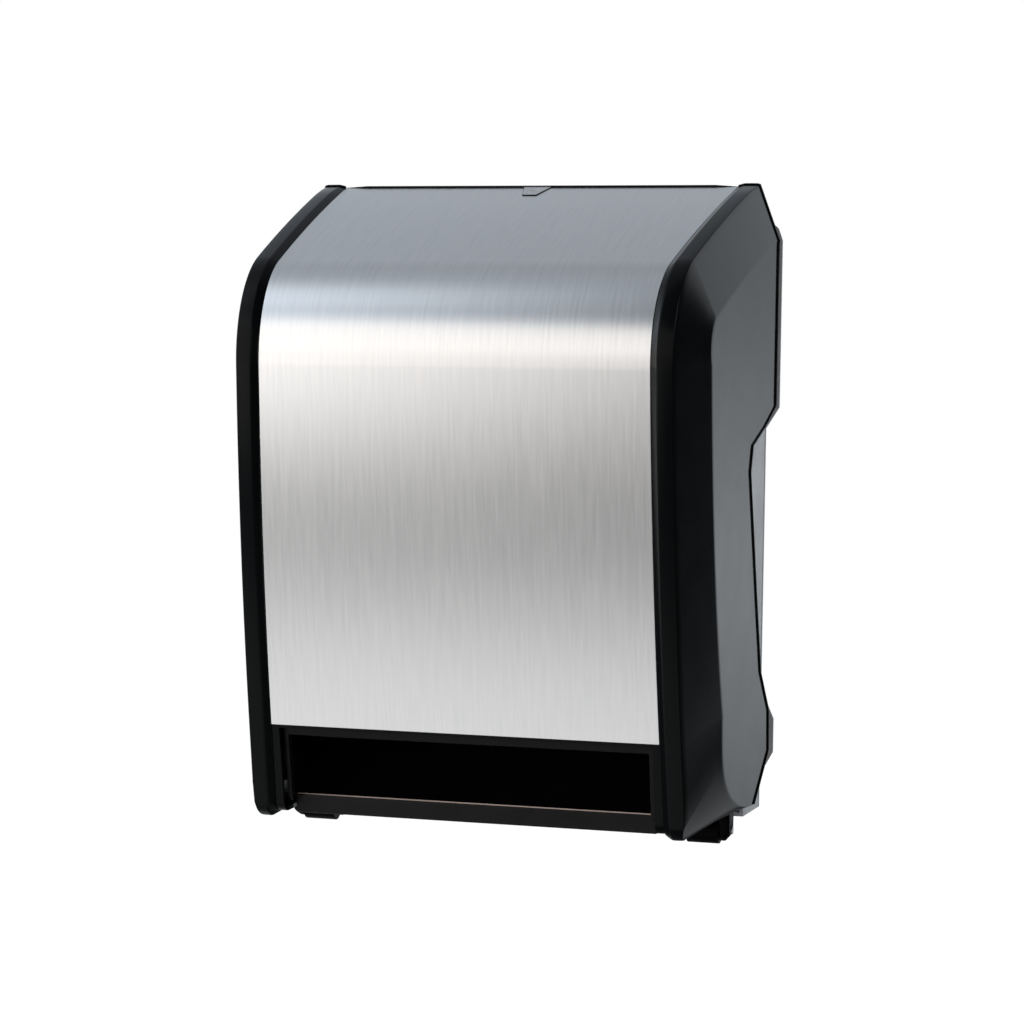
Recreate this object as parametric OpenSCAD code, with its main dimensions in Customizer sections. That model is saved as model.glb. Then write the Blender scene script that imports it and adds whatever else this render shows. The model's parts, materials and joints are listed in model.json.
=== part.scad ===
// Touchless roll towel dispenser, wall mounted, opened by tipping its front cover forward.
// Frame: origin at the centre of the four wall screws on the wall plane, +Z up,
// +X to the right of someone facing it, the wall at Y = 0 and the front towards -Y.

/* [Front panel] */
// Width of the steel panel at its most forward line
panel_w = 248.6; // [235:0.2:262]
// Height of the panel's rear top edge above the wall screws' centre
panel_top_z = 205; // [200:1:210]
// Distance from the wall to the panel's rear top edge
panel_gap = 15.6; // [14:0.2:18]
// Radius of the nearly flat sloping top
top_r = 1780; // [1700:10:1850]
// Radius of the bend between the top and the front
bend_r = 66; // [60:1:70]
// Radius of the nearly flat front
front_r = 1765; // [1700:5:1830]
// Thickness of the steel sheet
sheet_t = 0.8; // [0.6:0.1:1.2]

/* [Cover shell] */
// Thickness of the moulded cover walls
wall = 2.8; // [2.2:0.1:3.4]
// Thickness of the web behind the steel sheet
web_t = 2.6; // [2:0.1:3]
// Width of the raised rim beside the steel
rim_w = 14.4; // [12:0.2:17]
// Height of the rim above the steel
rim_h = 2.7; // [1.5:0.1:4]
// Distance from the steel's edge out to the side face
side_out = 25.2; // [23:0.1:28]
// Depth of the bevel at the top
bevel_top = 36; // [32:1:40]
// Depth of the bevel at the front
bevel_front = 47; // [42:1:52]
// Straight length of the cheeks below the steel
cheek_drop = 51.5; // [48:0.5:54]
// Radius of the cheeks' bottom front corner
cheek_round = 10; // [8:0.5:12]

/* [Rear housing] */
// Clearance between the cover's cheeks and the housing's side walls
base_gap = 4.1; // [3:0.1:6]
// How far the flange stands out beyond the cover at the wall
flange_out = 1.9; // [1:0.1:3]
// Thickness of the back plate
back_t = 3; // [2.5:0.1:4]
// Depth of the side walls
base_d = 74; // [70:1:76]
// Thickness of the side walls
base_wall = 2.5; // [2:0.1:3]

/* [Wall screws] */
// Distance between the screws across
screw_x = 279.4; // [276:0.2:282]
// Distance between the screws up and down
screw_z = 254; // [240:1:262]
// Radius of the screw holes
screw_r = 3.2; // [2.5:0.1:4]

/* [Hinge] */
// Distance of the hinge axis from the wall
hinge_y = 66; // [64:0.5:68]
// Depth of the hinge axis below the wall screws' centre
hinge_z = 216; // [214:0.5:218]
// Radius of the hinge pins
hinge_pin_r = 2.5; // [2:0.1:3]

/* [Towel roll] */
// Radius of the largest roll
roll_r = 101.5; // [96:0.5:102]
// Width of the roll
roll_w = 203.2; // [195:0.2:205]
// Distance of the roll's axis from the wall
roll_y = 107; // [105:0.5:109]
// Height of the roll's axis above the wall screws' centre
roll_z = 62; // [60:0.5:64]
// Radius of the hub noses that fit the roll's core
hub_r = 17; // [15:0.5:19]

/* [Feed drive] */
// Radius of the rubber drive roller
drive_r = 14; // [13:0.1:15]
// Radius of the pinch roller
pinch_r = 9; // [8:0.1:10]
// Radius of the drive shaft
shaft_r = 4; // [3:0.1:4.5]
// Radial clearance of each running fit
run_gap = 0.05; // [0.02:0.01:0.08]
// Size of the gear teeth, pitch diameter per tooth
gear_m = 1; // [1:0.01:1.02]
// Width of the gears
gear_w = 5; // [4:0.5:6]

/* [Batteries] */
// Radius of a cell
cell_r = 16.6; // [16:0.1:17]
// Length of a cell
cell_len = 61.5; // [60:0.1:62]

/* [Hidden] */
$fn = 48;

// Overrun of every cut past the face it opens
cut = 1;
// Gap between pieces of two bodies that pass each other
pass_gap = 0.3;
// Angles of the panel's outline, in degrees below straight ahead
top_start = 16.6;
top_end = 22;
front_start = 94.5;
front_end = 102;
under_end = 180;
// Draft of the cheeks and side walls
side_draft = 3.693;

// Steps along each stretch of the cover's outline
top_n = 4;
bend_n = 12;
front_n = 5;
drop_n = 2;
round_n = 4;

// A point of an outline is [y, z, heading]
function last(v) = v[len(v) - 1];
function arc_path(p, h1, r, n) = [
    for (i = [1:n])
        let (h = p[2] + (h1 - p[2]) * i / n)
        [p[0] - r * (sin(h) - sin(p[2])), p[1] + r * (cos(h) - cos(p[2])), h]
];
function run_path(p, l, n) = [
    for (i = [1:n]) [p[0] - l * cos(p[2]) * i / n, p[1] - l * sin(p[2]) * i / n, p[2]]
];
function mix(a, b, t) = a + (b - a) * t;

// Outline of the steel panel, from its rear top edge down to its lower edge
function panel_outline(bend_steps) =
    let (start = [-panel_gap, panel_top_z, top_start])
    let (top = arc_path(start, top_end, top_r, top_n))
    let (bend = arc_path(last(top), front_start, bend_r, bend_steps))
    concat([start], top, bend, arc_path(last(bend), front_end, front_r, front_n));
panel_line = panel_outline(bend_n);
panel_end = len(panel_line) - 1;
panel_low = last(panel_line);

// The cheeks go on below the panel, round the bottom corner and back to the hinge
under_gap = 18;
drop_line = run_path(panel_low, cheek_drop, drop_n);
round_line = arc_path(last(drop_line), under_end, cheek_round, round_n);
under_len = -last(round_line)[0] - hinge_y + under_gap;
cheek_line = concat(panel_line, drop_line, round_line, run_path(last(round_line), under_len, 1));
ring_n = len(cheek_line);
cover_low = last(cheek_line)[1];
cover_h = panel_top_z - cover_low;

// Half width of the steel at a distance y in front of the wall; the draft widens it to the rear
front_y = min([for (p = panel_line) p[0]]);
cover_d = -front_y;
function half_at(y) = panel_w / 2 + tan(side_draft) * (y - front_y);
cover_half = half_at(0) + side_out;
base_half = cover_half - wall - base_gap;
flange_half = cover_half + flange_out;

// Point at a depth d above the outline's line, x beyond the steel's edge
function off_yz(p, d) = [p[0] - sin(p[2]) * d, p[1] + cos(p[2]) * d];
function off_point(p, x, d) =
    let (q = off_yz(p, d))
    [half_at(q[0]) + x, q[0], q[1]];

// Clearance round the steel's edges, and the level of the web it lies on
sheet_gap = 0.3;
web_top = sheet_t * 1.4;
web_low = web_top + web_t;

// The rim's height fades away along the underside
function rim_share(i) = i < ring_n - 3 ? 1 : i < ring_n - 1 ? 0.4 : 0;

// The bevel's lower line: an inward offset of the outline that deepens towards the bottom,
// then runs back to the rear end of the underside
bevel_low_share = 0.4;
bevel_ease = 1.5;
function bevel_depth(i) =
    i <= top_n ? bevel_top :
    i <= top_n + bend_n ? mix(bevel_top, bevel_front, (i - top_n) / bend_n) :
    bevel_front * (1 + bevel_low_share * pow((i - top_n - bend_n) / front_n, 3));
bevel_end_rise = wall;
bevel_end = [last(cheek_line)[0], cover_low + bevel_end_rise];
function bevel_yz(i) =
    i <= panel_end ? off_yz(cheek_line[i], -bevel_depth(i)) :
    let (from = off_yz(panel_low, -bevel_depth(panel_end)))
    let (t = (i - panel_end) / (ring_n - 1 - panel_end))
    [mix(from[0], bevel_end[0], pow(t, bevel_ease)), mix(from[1], bevel_end[1], t)];

// Rear edge of the cheeks: ring number, share of the depth, share of the height
rear_shares = [
    [0, 0.023, 0.091], [4, 0.023, 0.184], [10, 0.023, 0.355], [12, 0.150, 0.386],
    [14, 0.300, 0.415], [16, 0.325, 0.457], [19, 0.218, 0.665], [20, 0.153, 0.783],
    [21, 0.042, 0.856], [24, 0.033, 0.922], [28, 0.190, 1.0]
];
rear_y_shares = [for (r = rear_shares) [r[0], r[1]]];
rear_z_shares = [for (r = rear_shares) [r[0], r[2]]];
function rear_yz(i) = [
    -cover_d * lookup(i, rear_y_shares),
    panel_top_z - cover_h * lookup(i, rear_z_shares)
];

// Stations across one cheek, from the steel's edge out to the rear edge
rim_crown_share = 0.33;
function side_point(yz, inset) = [half_at(yz[0]) + side_out - inset, yz[0], yz[1]];
function outer_side(i) =
    let (p = cheek_line[i])
    let (h = rim_h * rim_share(i))
    [
        off_point(p, sheet_gap, -web_top),
        off_point(p, sheet_gap, h * 0.1),
        off_point(p, rim_w * 0.1, h * 0.6),
        off_point(p, rim_w * rim_crown_share, h),
        off_point(p, rim_w * 0.87, h * 0.93),
        off_point(p, rim_w, h * 0.5),
        side_point(bevel_yz(i), 0),
        side_point(rear_yz(i), 0)
    ];
function inner_side(i) =
    let (p = cheek_line[i])
    let (h = rim_h * rim_share(i))
    [
        off_point(p, -wall * 0.4, -web_low),
        off_point(p, wall * 0.3, -web_low),
        off_point(p, wall * 0.8, -web_low),
        off_point(p, rim_w * rim_crown_share + wall * 0.2, h - wall - sheet_t),
        off_point(p, rim_w * 0.87 - wall * 0.5, h * 0.93 - wall - sheet_t),
        off_point(p, rim_w - wall, h * 0.5 - wall * 1.2),
        side_point([bevel_yz(i)[0], bevel_yz(i)[1]], wall),
        side_point(rear_yz(i), wall)
    ];
function flip_x(v) = [for (j = [len(v) - 1:-1:0]) [-v[j][0], v[j][1], v[j][2]]];
function both_sides(v) = concat(flip_x(v), v);
function back_order(v) = [for (j = [len(v) - 1:-1:0]) v[j]];
function shell_ring(i) = concat(both_sides(outer_side(i)), back_order(both_sides(inner_side(i))));

module cover_loft() {
    n = len(shell_ring(0));
    half = n / 2;
    points = [for (i = [0:ring_n - 1]) each shell_ring(i)];
    walls = [
        for (i = [0:ring_n - 2], j = [0:n - 1])
            let (a = i * n + j, b = i * n + (j + 1) % n)
            each [[a, b, b + n], [a, b + n, a + n]]
    ];
    ends = [
        for (i = [0, ring_n - 1], j = [0:half - 2])
            let (a = i * n + j, b = a + 1, c = i * n + n - 2 - j, d = c + 1)
            each (i == 0 ? [[a, c, b], [a, d, c]] : [[a, b, c], [a, c, d]])
    ];
    polyhedron(points, concat(walls, ends));
}

// A solid drawn in the side view, with y and z as its two directions, spread along x
module side_slab(x0, x1) {
    translate([x0, 0, 0])
        rotate([90, 0, 90])
            linear_extrude(x1 - x0)
                children();
}
module both_x() {
    children();
    mirror([1, 0, 0])
        children();
}
module block(low, high) {
    translate(low)
        cube(high - low);
}
// A round bar or bore along x
module bar_x(x0, x1, y, z, r) {
    translate([x0, y, z])
        rotate([0, 90, 0])
            cylinder(h = x1 - x0, r = r);
}

/* Lock in the notch of the panel's top */
lock_y = 27;
lock_z = panel_top_z - (lock_y - panel_gap) * tan(top_start);
plug_r = 4;
lock_sleeve_r = 6;
sleeve_gap = 0.06;
lock_depth = 11.7;
pad_t = 1;
notch_rear_w = 20;
notch_front_w = 10;
notch_d = 23;
notch_shift = lock_y - panel_gap;
cam_t = 2.5;
cam_w = 6;
cam_len = 14;
strike_t = 2;
module lock_frame() {
    translate([0, -lock_y, lock_z])
        rotate([top_start, 0, 0])
            children();
}
module notch_shape(gap) {
    polygon([
        [-notch_rear_w / 2 - gap, notch_shift + cut], [notch_rear_w / 2 + gap, notch_shift + cut],
        [notch_front_w / 2 + gap, notch_shift - notch_d - gap],
        [-notch_front_w / 2 - gap, notch_shift - notch_d - gap]
    ]);
}

// Hinge: an ear under each cheek turns on a pin held in a knuckle of the base
knuckle_in = 126;
knuckle_w = 17;
knuckle_r = 9.2;
ear_gap = 1.3;
ear_in = knuckle_in + knuckle_w + ear_gap;
ear_t = 6;
ear_r = 7.2;
base_low = -210.5;

module cover_shell() {
    ear_top = cover_low + wall * 0.6;
    opening_half = panel_w / 2 - sheet_t * 3;
    strip_under = 2.2;
    color("#1b1e20")
    union() {
        difference() {
            cover_loft();
            // The recess below the steel, open down to the hinge
            block(
                [-opening_half, -cover_d - cut, cover_low - rim_h - cut],
                [opening_half, -hinge_y + under_gap + cut, panel_low[1] - strip_under]
            );
            lock_frame()
                translate([0, 0, -lock_depth])
                    cylinder(h = lock_depth * 2, r = lock_sleeve_r + sleeve_gap);
        }
        both_x()
            difference() {
                side_slab(ear_in, ear_in + ear_t)
                    union() {
                        translate([-hinge_y, -hinge_z])
                            circle(r = ear_r);
                        translate([-hinge_y - ear_r, -hinge_z])
                            square([2 * ear_r, ear_top + hinge_z]);
                    }
                bar_x(ear_in - cut, ear_in + ear_t + cut, -hinge_y, -hinge_z, hinge_pin_r + run_gap);
            }
    }
}

module steel_panel() {
    fine = panel_outline(2 * bend_n);
    outer = [for (p = fine) off_yz(p, 0)];
    inner = [for (p = fine) off_yz(p, -sheet_t)];
    rear_half = half_at(0);
    front_half = half_at(-cover_d - cut);
    color("#b9bcbe")
    difference() {
        intersection() {
            side_slab(-rear_half, rear_half)
                polygon(concat(outer, back_order(inner)));
            translate([0, 0, panel_low[1] - cut])
                linear_extrude(panel_top_z - panel_low[1] + 2 * cut)
                    polygon([
                        [-rear_half, 0], [rear_half, 0],
                        [front_half, -cover_d - cut], [-front_half, -cover_d - cut]
                    ]);
        }
        lock_frame()
            translate([0, 0, -web_low])
                linear_extrude(web_low + rim_h)
                    notch_shape(0);
    }
}

module lock_housing() {
    color("#a9acae")
    lock_frame()
        difference() {
            union() {
                translate([0, 0, -lock_depth])
                    cylinder(h = lock_depth - web_top, r = lock_sleeve_r);
                translate([0, 0, -web_top])
                    linear_extrude(pad_t)
                        notch_shape(-sheet_gap);
            }
            translate([0, 0, -lock_depth - cut])
                cylinder(h = lock_depth + 2 * cut, r = plug_r + run_gap);
        }
}

module lock_plug() {
    slot_w = 1.2;
    slot_len = 5;
    slot_d = 2;
    color("#8d9092")
    lock_frame()
        difference() {
            translate([0, 0, -lock_depth - pass_gap])
                cylinder(h = lock_depth + pass_gap - web_top + pad_t, r = plug_r);
            translate([-slot_len / 2, -slot_w / 2, -web_top + pad_t - slot_d])
                cube([slot_len, slot_w, slot_d + cut]);
        }
}

module lock_cam() {
    color("#8d9092")
    lock_frame()
        translate([0, 0, -lock_depth - pass_gap - cam_t])
            linear_extrude(cam_t)
                union() {
                    circle(r = plug_r);
                    translate([-cam_w / 2, 0])
                        square([cam_w, cam_len]);
                }
}

// The strike's lip stands in front of the turned cam, so the locked cover can't tip forward
strike_x0 = 7.5;
strike_w = 12;
lip_past = 4;
lip_front = cam_w / 2 + lip_past;
strike_level = -lock_depth - pass_gap - cam_t - pass_gap * 2;
module strike_plate() {
    reach = lock_y + lip_front;
    foot_t = 2;
    foot_h = 32;
    foot_low = lock_z - lock_depth - foot_h;
    foot_high = lock_z + lock_y * sin(top_start) - lock_depth - cam_t - strike_t;
    color("#a9acae")
    union() {
        intersection() {
            lock_frame()
                union() {
                    translate([strike_x0, -lip_front, strike_level - strike_t])
                        cube([strike_w, reach + lip_front, strike_t]);
                    translate([strike_x0, -lip_front, strike_level - strike_t])
                        cube([strike_w, strike_t, strike_t + cam_t + pass_gap]);
                }
            block([0, -reach * 2, 0], [strike_x0 + strike_w + cut, -back_t, panel_top_z]);
        }
        block([strike_x0, -back_t - foot_t, foot_low], [strike_x0 + strike_w, -back_t, foot_high]);
    }
}

// Rear housing: back plate with a flange that frames the cover, side walls, floor and top
housing_top = 198;
flange_t = 2;
boss_r = 8;
boss_h = 3;
seat_y = 8;
seat_r = 6;
seat_x = 90;
seat_low = -185;
seat_high = -75;
notch_top_share = 0.357;
notch_low_share = 0.392;
flange_low_share = 0.82;
function down(share) = panel_top_z - cover_h * share;
module back_outline(half) {
    polygon([
        for (s = [1, -1], p = s == 1 ? half : back_order(half)) [s * p[0], p[1]]
    ]);
}
floor_d = 44;
knuckle_seat_d = 57;
module housing_floor() {
    rear_half = base_half - base_wall / 2;
    front_half = rear_half - floor_d * tan(side_draft);
    translate([0, 0, base_low])
        linear_extrude(base_wall)
            union() {
                polygon([[-rear_half, 0], [rear_half, 0], [front_half, -floor_d], [-front_half, -floor_d]]);
                translate([-knuckle_in - knuckle_w, -knuckle_seat_d])
                    square([2 * (knuckle_in + knuckle_w), knuckle_seat_d]);
            }
}
// Low ribs that stiffen the back plate behind the roll
plate_rib_h = 2;
plate_rib_t = 2;
plate_rib_x = 60;
plate_rib_reach = 104;
plate_rib_low = -52;
plate_rib_high = 146;
plate_rib_gaps = 3;
module plate_ribs() {
    for (x = [-plate_rib_x, plate_rib_x])
        block(
            [x - plate_rib_t / 2, -back_t - plate_rib_h, plate_rib_low],
            [x + plate_rib_t / 2, -back_t / 2, plate_rib_high]
        );
    for (i = [0:plate_rib_gaps]) {
        z = mix(plate_rib_low, plate_rib_high, i / plate_rib_gaps);
        block(
            [-plate_rib_reach, -back_t - plate_rib_h, z - plate_rib_t / 2],
            [plate_rib_reach, -back_t / 2, z + plate_rib_t / 2]
        );
    }
}
module rear_housing() {
    plate = [
        [base_half, base_low], [base_half, housing_top - 2 * bevel_top],
        [half_at(0) + rim_w * 0.2, housing_top]
    ];
    flange = [
        [base_half, down(0.965)], [flange_half, down(0.925)], [flange_half, down(flange_low_share + 0.05)],
        [base_half, down(flange_low_share)], [base_half, down(notch_low_share)],
        [flange_half, down(notch_top_share)], [flange_half, down(0.085)],
        [flange_half - wall, down(0.066)], [half_at(0) + rim_w * 0.2, down(0.017)]
    ];
    wall_side = [
        [0, base_low], [-floor_d, base_low], [-floor_d, down(0.955)], [-base_d, down(0.87)],
        [-base_d, down(0.3)], [-floor_d, down(0.13)], [-back_t, housing_top - wall * 6]
    ];
    color("#55585b")
    difference() {
        union() {
            rotate([90, 0, 0])
                linear_extrude(back_t)
                    back_outline(plate);
            rotate([90, 0, 0])
                linear_extrude(flange_t)
                    back_outline(flange);
            both_x()
                translate([base_half, 0, 0])
                    rotate([0, 0, -side_draft])
                        side_slab(-base_wall, 0)
                            polygon(wall_side);
            housing_floor();
            block(
                [-half_at(0), -panel_gap + wall * 0.6, housing_top - base_wall],
                [half_at(0), 0, housing_top]
            );
            for (x = [-screw_x / 2, screw_x / 2], z = [-screw_z / 2, screw_z / 2])
                translate([x, -back_t, z])
                    rotate([90, 0, 0])
                        cylinder(h = boss_h, r = boss_r);
            for (x = [-seat_x, seat_x], z = [seat_low, seat_high])
                translate([x, 0, z])
                    rotate([90, 0, 0])
                        cylinder(h = seat_y, r = seat_r);
            arm_brackets();
            plate_ribs();
        }
        for (x = [-screw_x / 2, screw_x / 2], z = [-screw_z / 2, screw_z / 2])
            translate([x, cut, z])
                rotate([90, 0, 0])
                    cylinder(h = back_t + boss_h + 2 * cut, r = screw_r);
        for (x = [-seat_x, seat_x], z = [seat_low, seat_high])
            translate([x, -back_t, z])
                rotate([90, 0, 0])
                    cylinder(h = seat_y, r = module_screw_r);
        for (z = arm_ears_z)
            both_x()
                translate([arm_x, -arm_pivot_y, z - cut])
                    cylinder(h = bracket_t + 2 * cut, r = arm_pin_r);
    }
}

// Roll arms: each swings outward on an upright pin and carries a turning hub
arm_x = 118;
arm_pivot_y = 11;
arm_pin_r = 2;
arm_t = 3;
arm_h = 46;
arm_off = 8.4;
arm_in = roll_w / 2 + arm_off;
bracket_t = 4;
bracket_r = 5;
arm_ears_z = [roll_z - arm_h / 2 - pass_gap - bracket_t, roll_z + arm_h / 2 + pass_gap];
module arm_brackets() {
    for (z = arm_ears_z)
        both_x()
            translate([arm_x, 0, z])
                linear_extrude(bracket_t)
                    union() {
                        translate([0, -arm_pivot_y])
                            circle(r = bracket_r);
                        translate([-bracket_r, -arm_pivot_y])
                            square([2 * bracket_r, arm_pivot_y]);
                    }
}
hub_flange_t = 3;
hub_rim = 8;
hub_nose = 10;
hub_lead = 1;
hub_taper = 4;
hub_stub = 11;
hub_pin_r = 3;
hub_web = 2;
// Ring-shaped pocket with ribs left standing across it, for hubs and gear webs
module spoke_pockets(inner, outer, deep, rib, bars) {
    difference() {
        cylinder(h = deep, r = outer);
        translate([0, 0, -cut])
            cylinder(h = deep + 2 * cut, r = inner);
        for (k = [0:bars - 1])
            rotate(180 * k / bars)
                translate([-outer - cut, -rib / 2, -cut])
                    cube([2 * (outer + cut), rib, deep + 2 * cut]);
    }
}
spring_wire = 0.6;
spring_turns = 5;
barrel_r = 4.4;
barrel_share = 0.3;
arm_rib_h = 2;
arm_rib_w = 2.5;
// The arm's blade in the side view: a strip with a round end at the hub
module arm_blade(inset) {
    translate([-roll_y, roll_z])
        circle(r = arm_h / 2 - inset);
    translate([-roll_y, roll_z - arm_h / 2 + inset])
        square([roll_y - arm_pivot_y - barrel_r - inset, arm_h - 2 * inset]);
}
module roll_arm() {
    eye = arm_h * barrel_share;
    color("#2b2e30")
    difference() {
        union() {
            side_slab(arm_in, arm_in + arm_t)
                arm_blade(0);
            // Rim round the blade's outer face, a rib along it and a boss behind the hub's pin
            side_slab(arm_in + arm_t / 2, arm_in + arm_t + arm_rib_h) {
                difference() {
                    arm_blade(0);
                    arm_blade(arm_rib_w);
                }
                translate([-roll_y, roll_z])
                    circle(r = hub_pin_r + arm_rib_w);
                translate([-roll_y, roll_z - arm_rib_w / 2])
                    square([roll_y - arm_pivot_y - barrel_r, arm_rib_w]);
            }
            // Barrels on the pin at the top and the bottom, with the spring between them
            for (z = [roll_z - arm_h / 2, roll_z + arm_h / 2 - eye]) {
                translate([arm_x, -arm_pivot_y, z])
                    cylinder(h = eye, r = barrel_r);
                block(
                    [arm_in, -arm_pivot_y - barrel_r - arm_t, z],
                    [arm_x, -arm_pivot_y - barrel_r * 0.4, z + eye]
                );
            }
            bar_x(arm_in - hub_stub, arm_in + arm_t, -roll_y, roll_z, hub_pin_r);
        }
        translate([arm_x, -arm_pivot_y, roll_z - arm_h])
            cylinder(h = 2 * arm_h, r = arm_pin_r + run_gap);
    }
}
module roll_arm_right() { roll_arm(); }
module roll_arm_left() { mirror([1, 0, 0]) roll_arm(); }
module roll_hub() {
    flange_x = arm_in - pass_gap - hub_flange_t;
    color("#3a3d40")
    difference() {
        translate([flange_x + hub_flange_t, -roll_y, roll_z])
            rotate([0, -90, 0])
                difference() {
                    rotate_extrude()
                        polygon([
                            [0, 0], [hub_r + hub_rim, 0], [hub_r + hub_rim, hub_flange_t],
                            [hub_r, hub_flange_t], [hub_r - hub_lead, hub_flange_t + hub_nose * 0.7],
                            [hub_r - hub_taper, hub_flange_t + hub_nose], [0, hub_flange_t + hub_nose]
                        ]);
                    translate([0, 0, hub_flange_t])
                        spoke_pockets(hub_pin_r + hub_web, hub_r - hub_taper - hub_web, hub_nose + cut, hub_web, 3);
                }
        bar_x(arm_in - hub_stub - pass_gap, arm_in + cut, -roll_y, roll_z, hub_pin_r + run_gap);
    }
}
module roll_hub_right() { roll_hub(); }
module roll_hub_left() { mirror([1, 0, 0]) roll_hub(); }
module arm_pins() {
    color("#a9acae")
    both_x()
        translate([arm_x, -arm_pivot_y, arm_ears_z[0]])
            cylinder(h = arm_ears_z[1] - arm_ears_z[0] + bracket_t, r = arm_pin_r);
}

// Helical spring: one tube swept along its turns
function coil_ring(c, along, around, r, sides) = [
    for (k = [0:sides - 1])
        let (a = 360 * k / sides)
        c + r * cos(a) * around + r * sin(a) * along
];
module coil(r, wire, turns, height, per_turn, sides) {
    n = turns * per_turn;
    points = [
        for (i = [0:n])
            let (a = 360 * i / per_turn)
            each coil_ring(
                [r * cos(a), r * sin(a), height * i / n], [0, 0, 1], [cos(a), sin(a), 0], wire, sides
            )
    ];
    walls = [
        for (i = [0:n - 1], k = [0:sides - 1])
            let (a = i * sides + k, b = i * sides + (k + 1) % sides)
            each [[a, b, b + sides], [a, b + sides, a + sides]]
    ];
    ends = [
        [for (k = [sides - 1:-1:0]) k],
        [for (k = [0:sides - 1]) n * sides + k]
    ];
    polyhedron(points, concat(walls, ends));
}
module arm_springs() {
    coil_h = arm_h * (1 - 2 * barrel_share) - 2 * spring_wire - 2 * pass_gap;
    color("#c8cacb")
    both_x()
        translate([arm_x, -arm_pivot_y, roll_z - coil_h / 2])
            coil(arm_pin_r + spring_wire + pass_gap * 0.5, spring_wire, spring_turns, coil_h, 12, 6);
}

// Feed module: two side plates joined by a back and a floor
side_in = 118;
side_t = 3;
side_out_x = side_in + side_t;
module_low = -206;
module_high = -60;
drive_y = 112;
drive_z = -128;
idler_teeth = 30;
drive_teeth = 40;
pinion_teeth = 12;
idler_angle = 25;
pinion_angle = 20;
function polar(p, r, a) = [p[0] + r * cos(a), p[1] + r * sin(a)];
drive_c = [-drive_y, drive_z];
idler_c = polar(drive_c, gear_m * (drive_teeth + idler_teeth) / 2, idler_angle);
pinion_c = polar(idler_c, gear_m * (idler_teeth + pinion_teeth) / 2, pinion_angle);
pinch_angle = 158;
pinch_c = polar(drive_c, drive_r + pinch_r + pass_gap, pinch_angle);
pinch_reach = 26;
pinch_lean = 72;
pinch_pivot = polar(pinch_c, pinch_reach, pinch_lean);
pivot_r = 2;
idler_pin_r = 2;
module_screw_r = 1.6;
bush_r = 7;
bush_neck_r = 5;
bush_flange_t = 2;
motor_r = 14;
motor_len = 36;
motor_nose_r = 4;
motor_boss = 4;
motor_shaft_r = 1;
gear_off = 1.5;
gear_x = side_out_x + gear_off;
drive_neck_r = shaft_r - gear_m;
back_seat_t = 3;
chassis_floor_y = 108;
chassis_shoulder = 6;
chassis_dip = 24;
dip_front_y = 60;
dip_rear_y = 40;
module module_chassis() {
    side = [
        [-seat_y, module_low], [-recess_rear, module_low], [-recess_rear, recess_top + recess_t],
        [-ctrl_y, recess_top + recess_t], [-ctrl_y, module_high - chassis_dip],
        [-recess_rear, module_high - chassis_shoulder], [-dip_front_y, module_high - chassis_shoulder],
        [-dip_rear_y, module_high - chassis_dip], [-seat_y, module_high]
    ];
    color("#303336")
    difference() {
        union() {
            both_x()
                side_slab(side_in, side_out_x)
                    polygon(side);
            block([-side_out_x, -seat_y - back_seat_t, module_low], [side_out_x, -seat_y, module_high]);
            block(
                [-side_out_x, -chassis_floor_y, module_low],
                [side_out_x, -seat_y, module_low + back_seat_t]
            );
        }
        both_x()
            bar_x(side_in - cut, side_out_x + cut, -drive_y, drive_z, bush_neck_r);
        bar_x(side_in - cut, side_out_x + cut, pinion_c[0], pinion_c[1], motor_nose_r + pass_gap);
        bar_x(side_in - cut, side_out_x + cut, idler_c[0], idler_c[1], idler_pin_r);
        both_x()
            bar_x(side_in - cut, side_out_x + cut, pinch_pivot[0], pinch_pivot[1], pivot_r);
        for (x = [-seat_x, seat_x], z = [seat_low, seat_high])
            translate([x, 0, z])
                rotate([90, 0, 0])
                    cylinder(h = seat_y + back_seat_t + cut, r = module_screw_r);
    }
}
module module_screws() {
    head_r = 3.2;
    head_t = 2;
    color("#b9bcbe")
    for (x = [-seat_x, seat_x], z = [seat_low, seat_high])
        translate([x, -seat_y - back_seat_t, z])
            rotate([90, 0, 0]) {
                cylinder(h = head_t, r = head_r);
                translate([0, 0, -seat_y])
                    cylinder(h = seat_y + cut, r = module_screw_r);
            }
}
module shaft_bushes() {
    color("#d8cfae")
    both_x()
        difference() {
            union() {
                bar_x(side_in - bush_flange_t, side_in, -drive_y, drive_z, bush_r);
                bar_x(side_in - bush_flange_t / 2, side_out_x, -drive_y, drive_z, bush_neck_r);
            }
            bar_x(side_in - bush_flange_t - cut, side_out_x + cut, -drive_y, drive_z, drive_neck_r + run_gap);
        }
}

// Involute gears, drawn in the side view
pressure = 20;
backlash_share = 0.06;
tip_share = 0.95;
root_share = 1.2;
function involute(a) = tan(a) * 180 / PI - a;
function half_tooth(r, base, n) =
    90 / n * (1 - backlash_share) + involute(pressure) - (r > base ? involute(acos(base / r)) : 0);
function gear_points(n, phase) =
    let (rp = gear_m * n / 2, base = rp * cos(pressure))
    let (tip = rp + gear_m * tip_share, root = rp - gear_m * root_share)
    let (levels = [root, max(root, base), mix(base, tip, 0.35), mix(base, tip, 0.7), tip])
    let (flank = [for (r = levels) [r, half_tooth(r, base, n)]])
    [
        for (k = [0:n - 1], s = [-1, 1], f = s == -1 ? flank : back_order(flank))
            let (a = phase + 360 * k / n + s * f[1])
            [f[0] * cos(a), f[0] * sin(a)]
    ];
idler_phase = idler_angle + 180 + 180 / idler_teeth;
idler_lag = (pinion_angle - idler_phase) % (360 / idler_teeth);
pinion_phase = pinion_angle + 180 + idler_lag * idler_teeth / pinion_teeth + 180 / pinion_teeth;
gear_rim = 2.4;
gear_dish = 1.8;
gear_spoke = 2;
drive_hub_r = 7;
idler_hub_r = 5;
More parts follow.
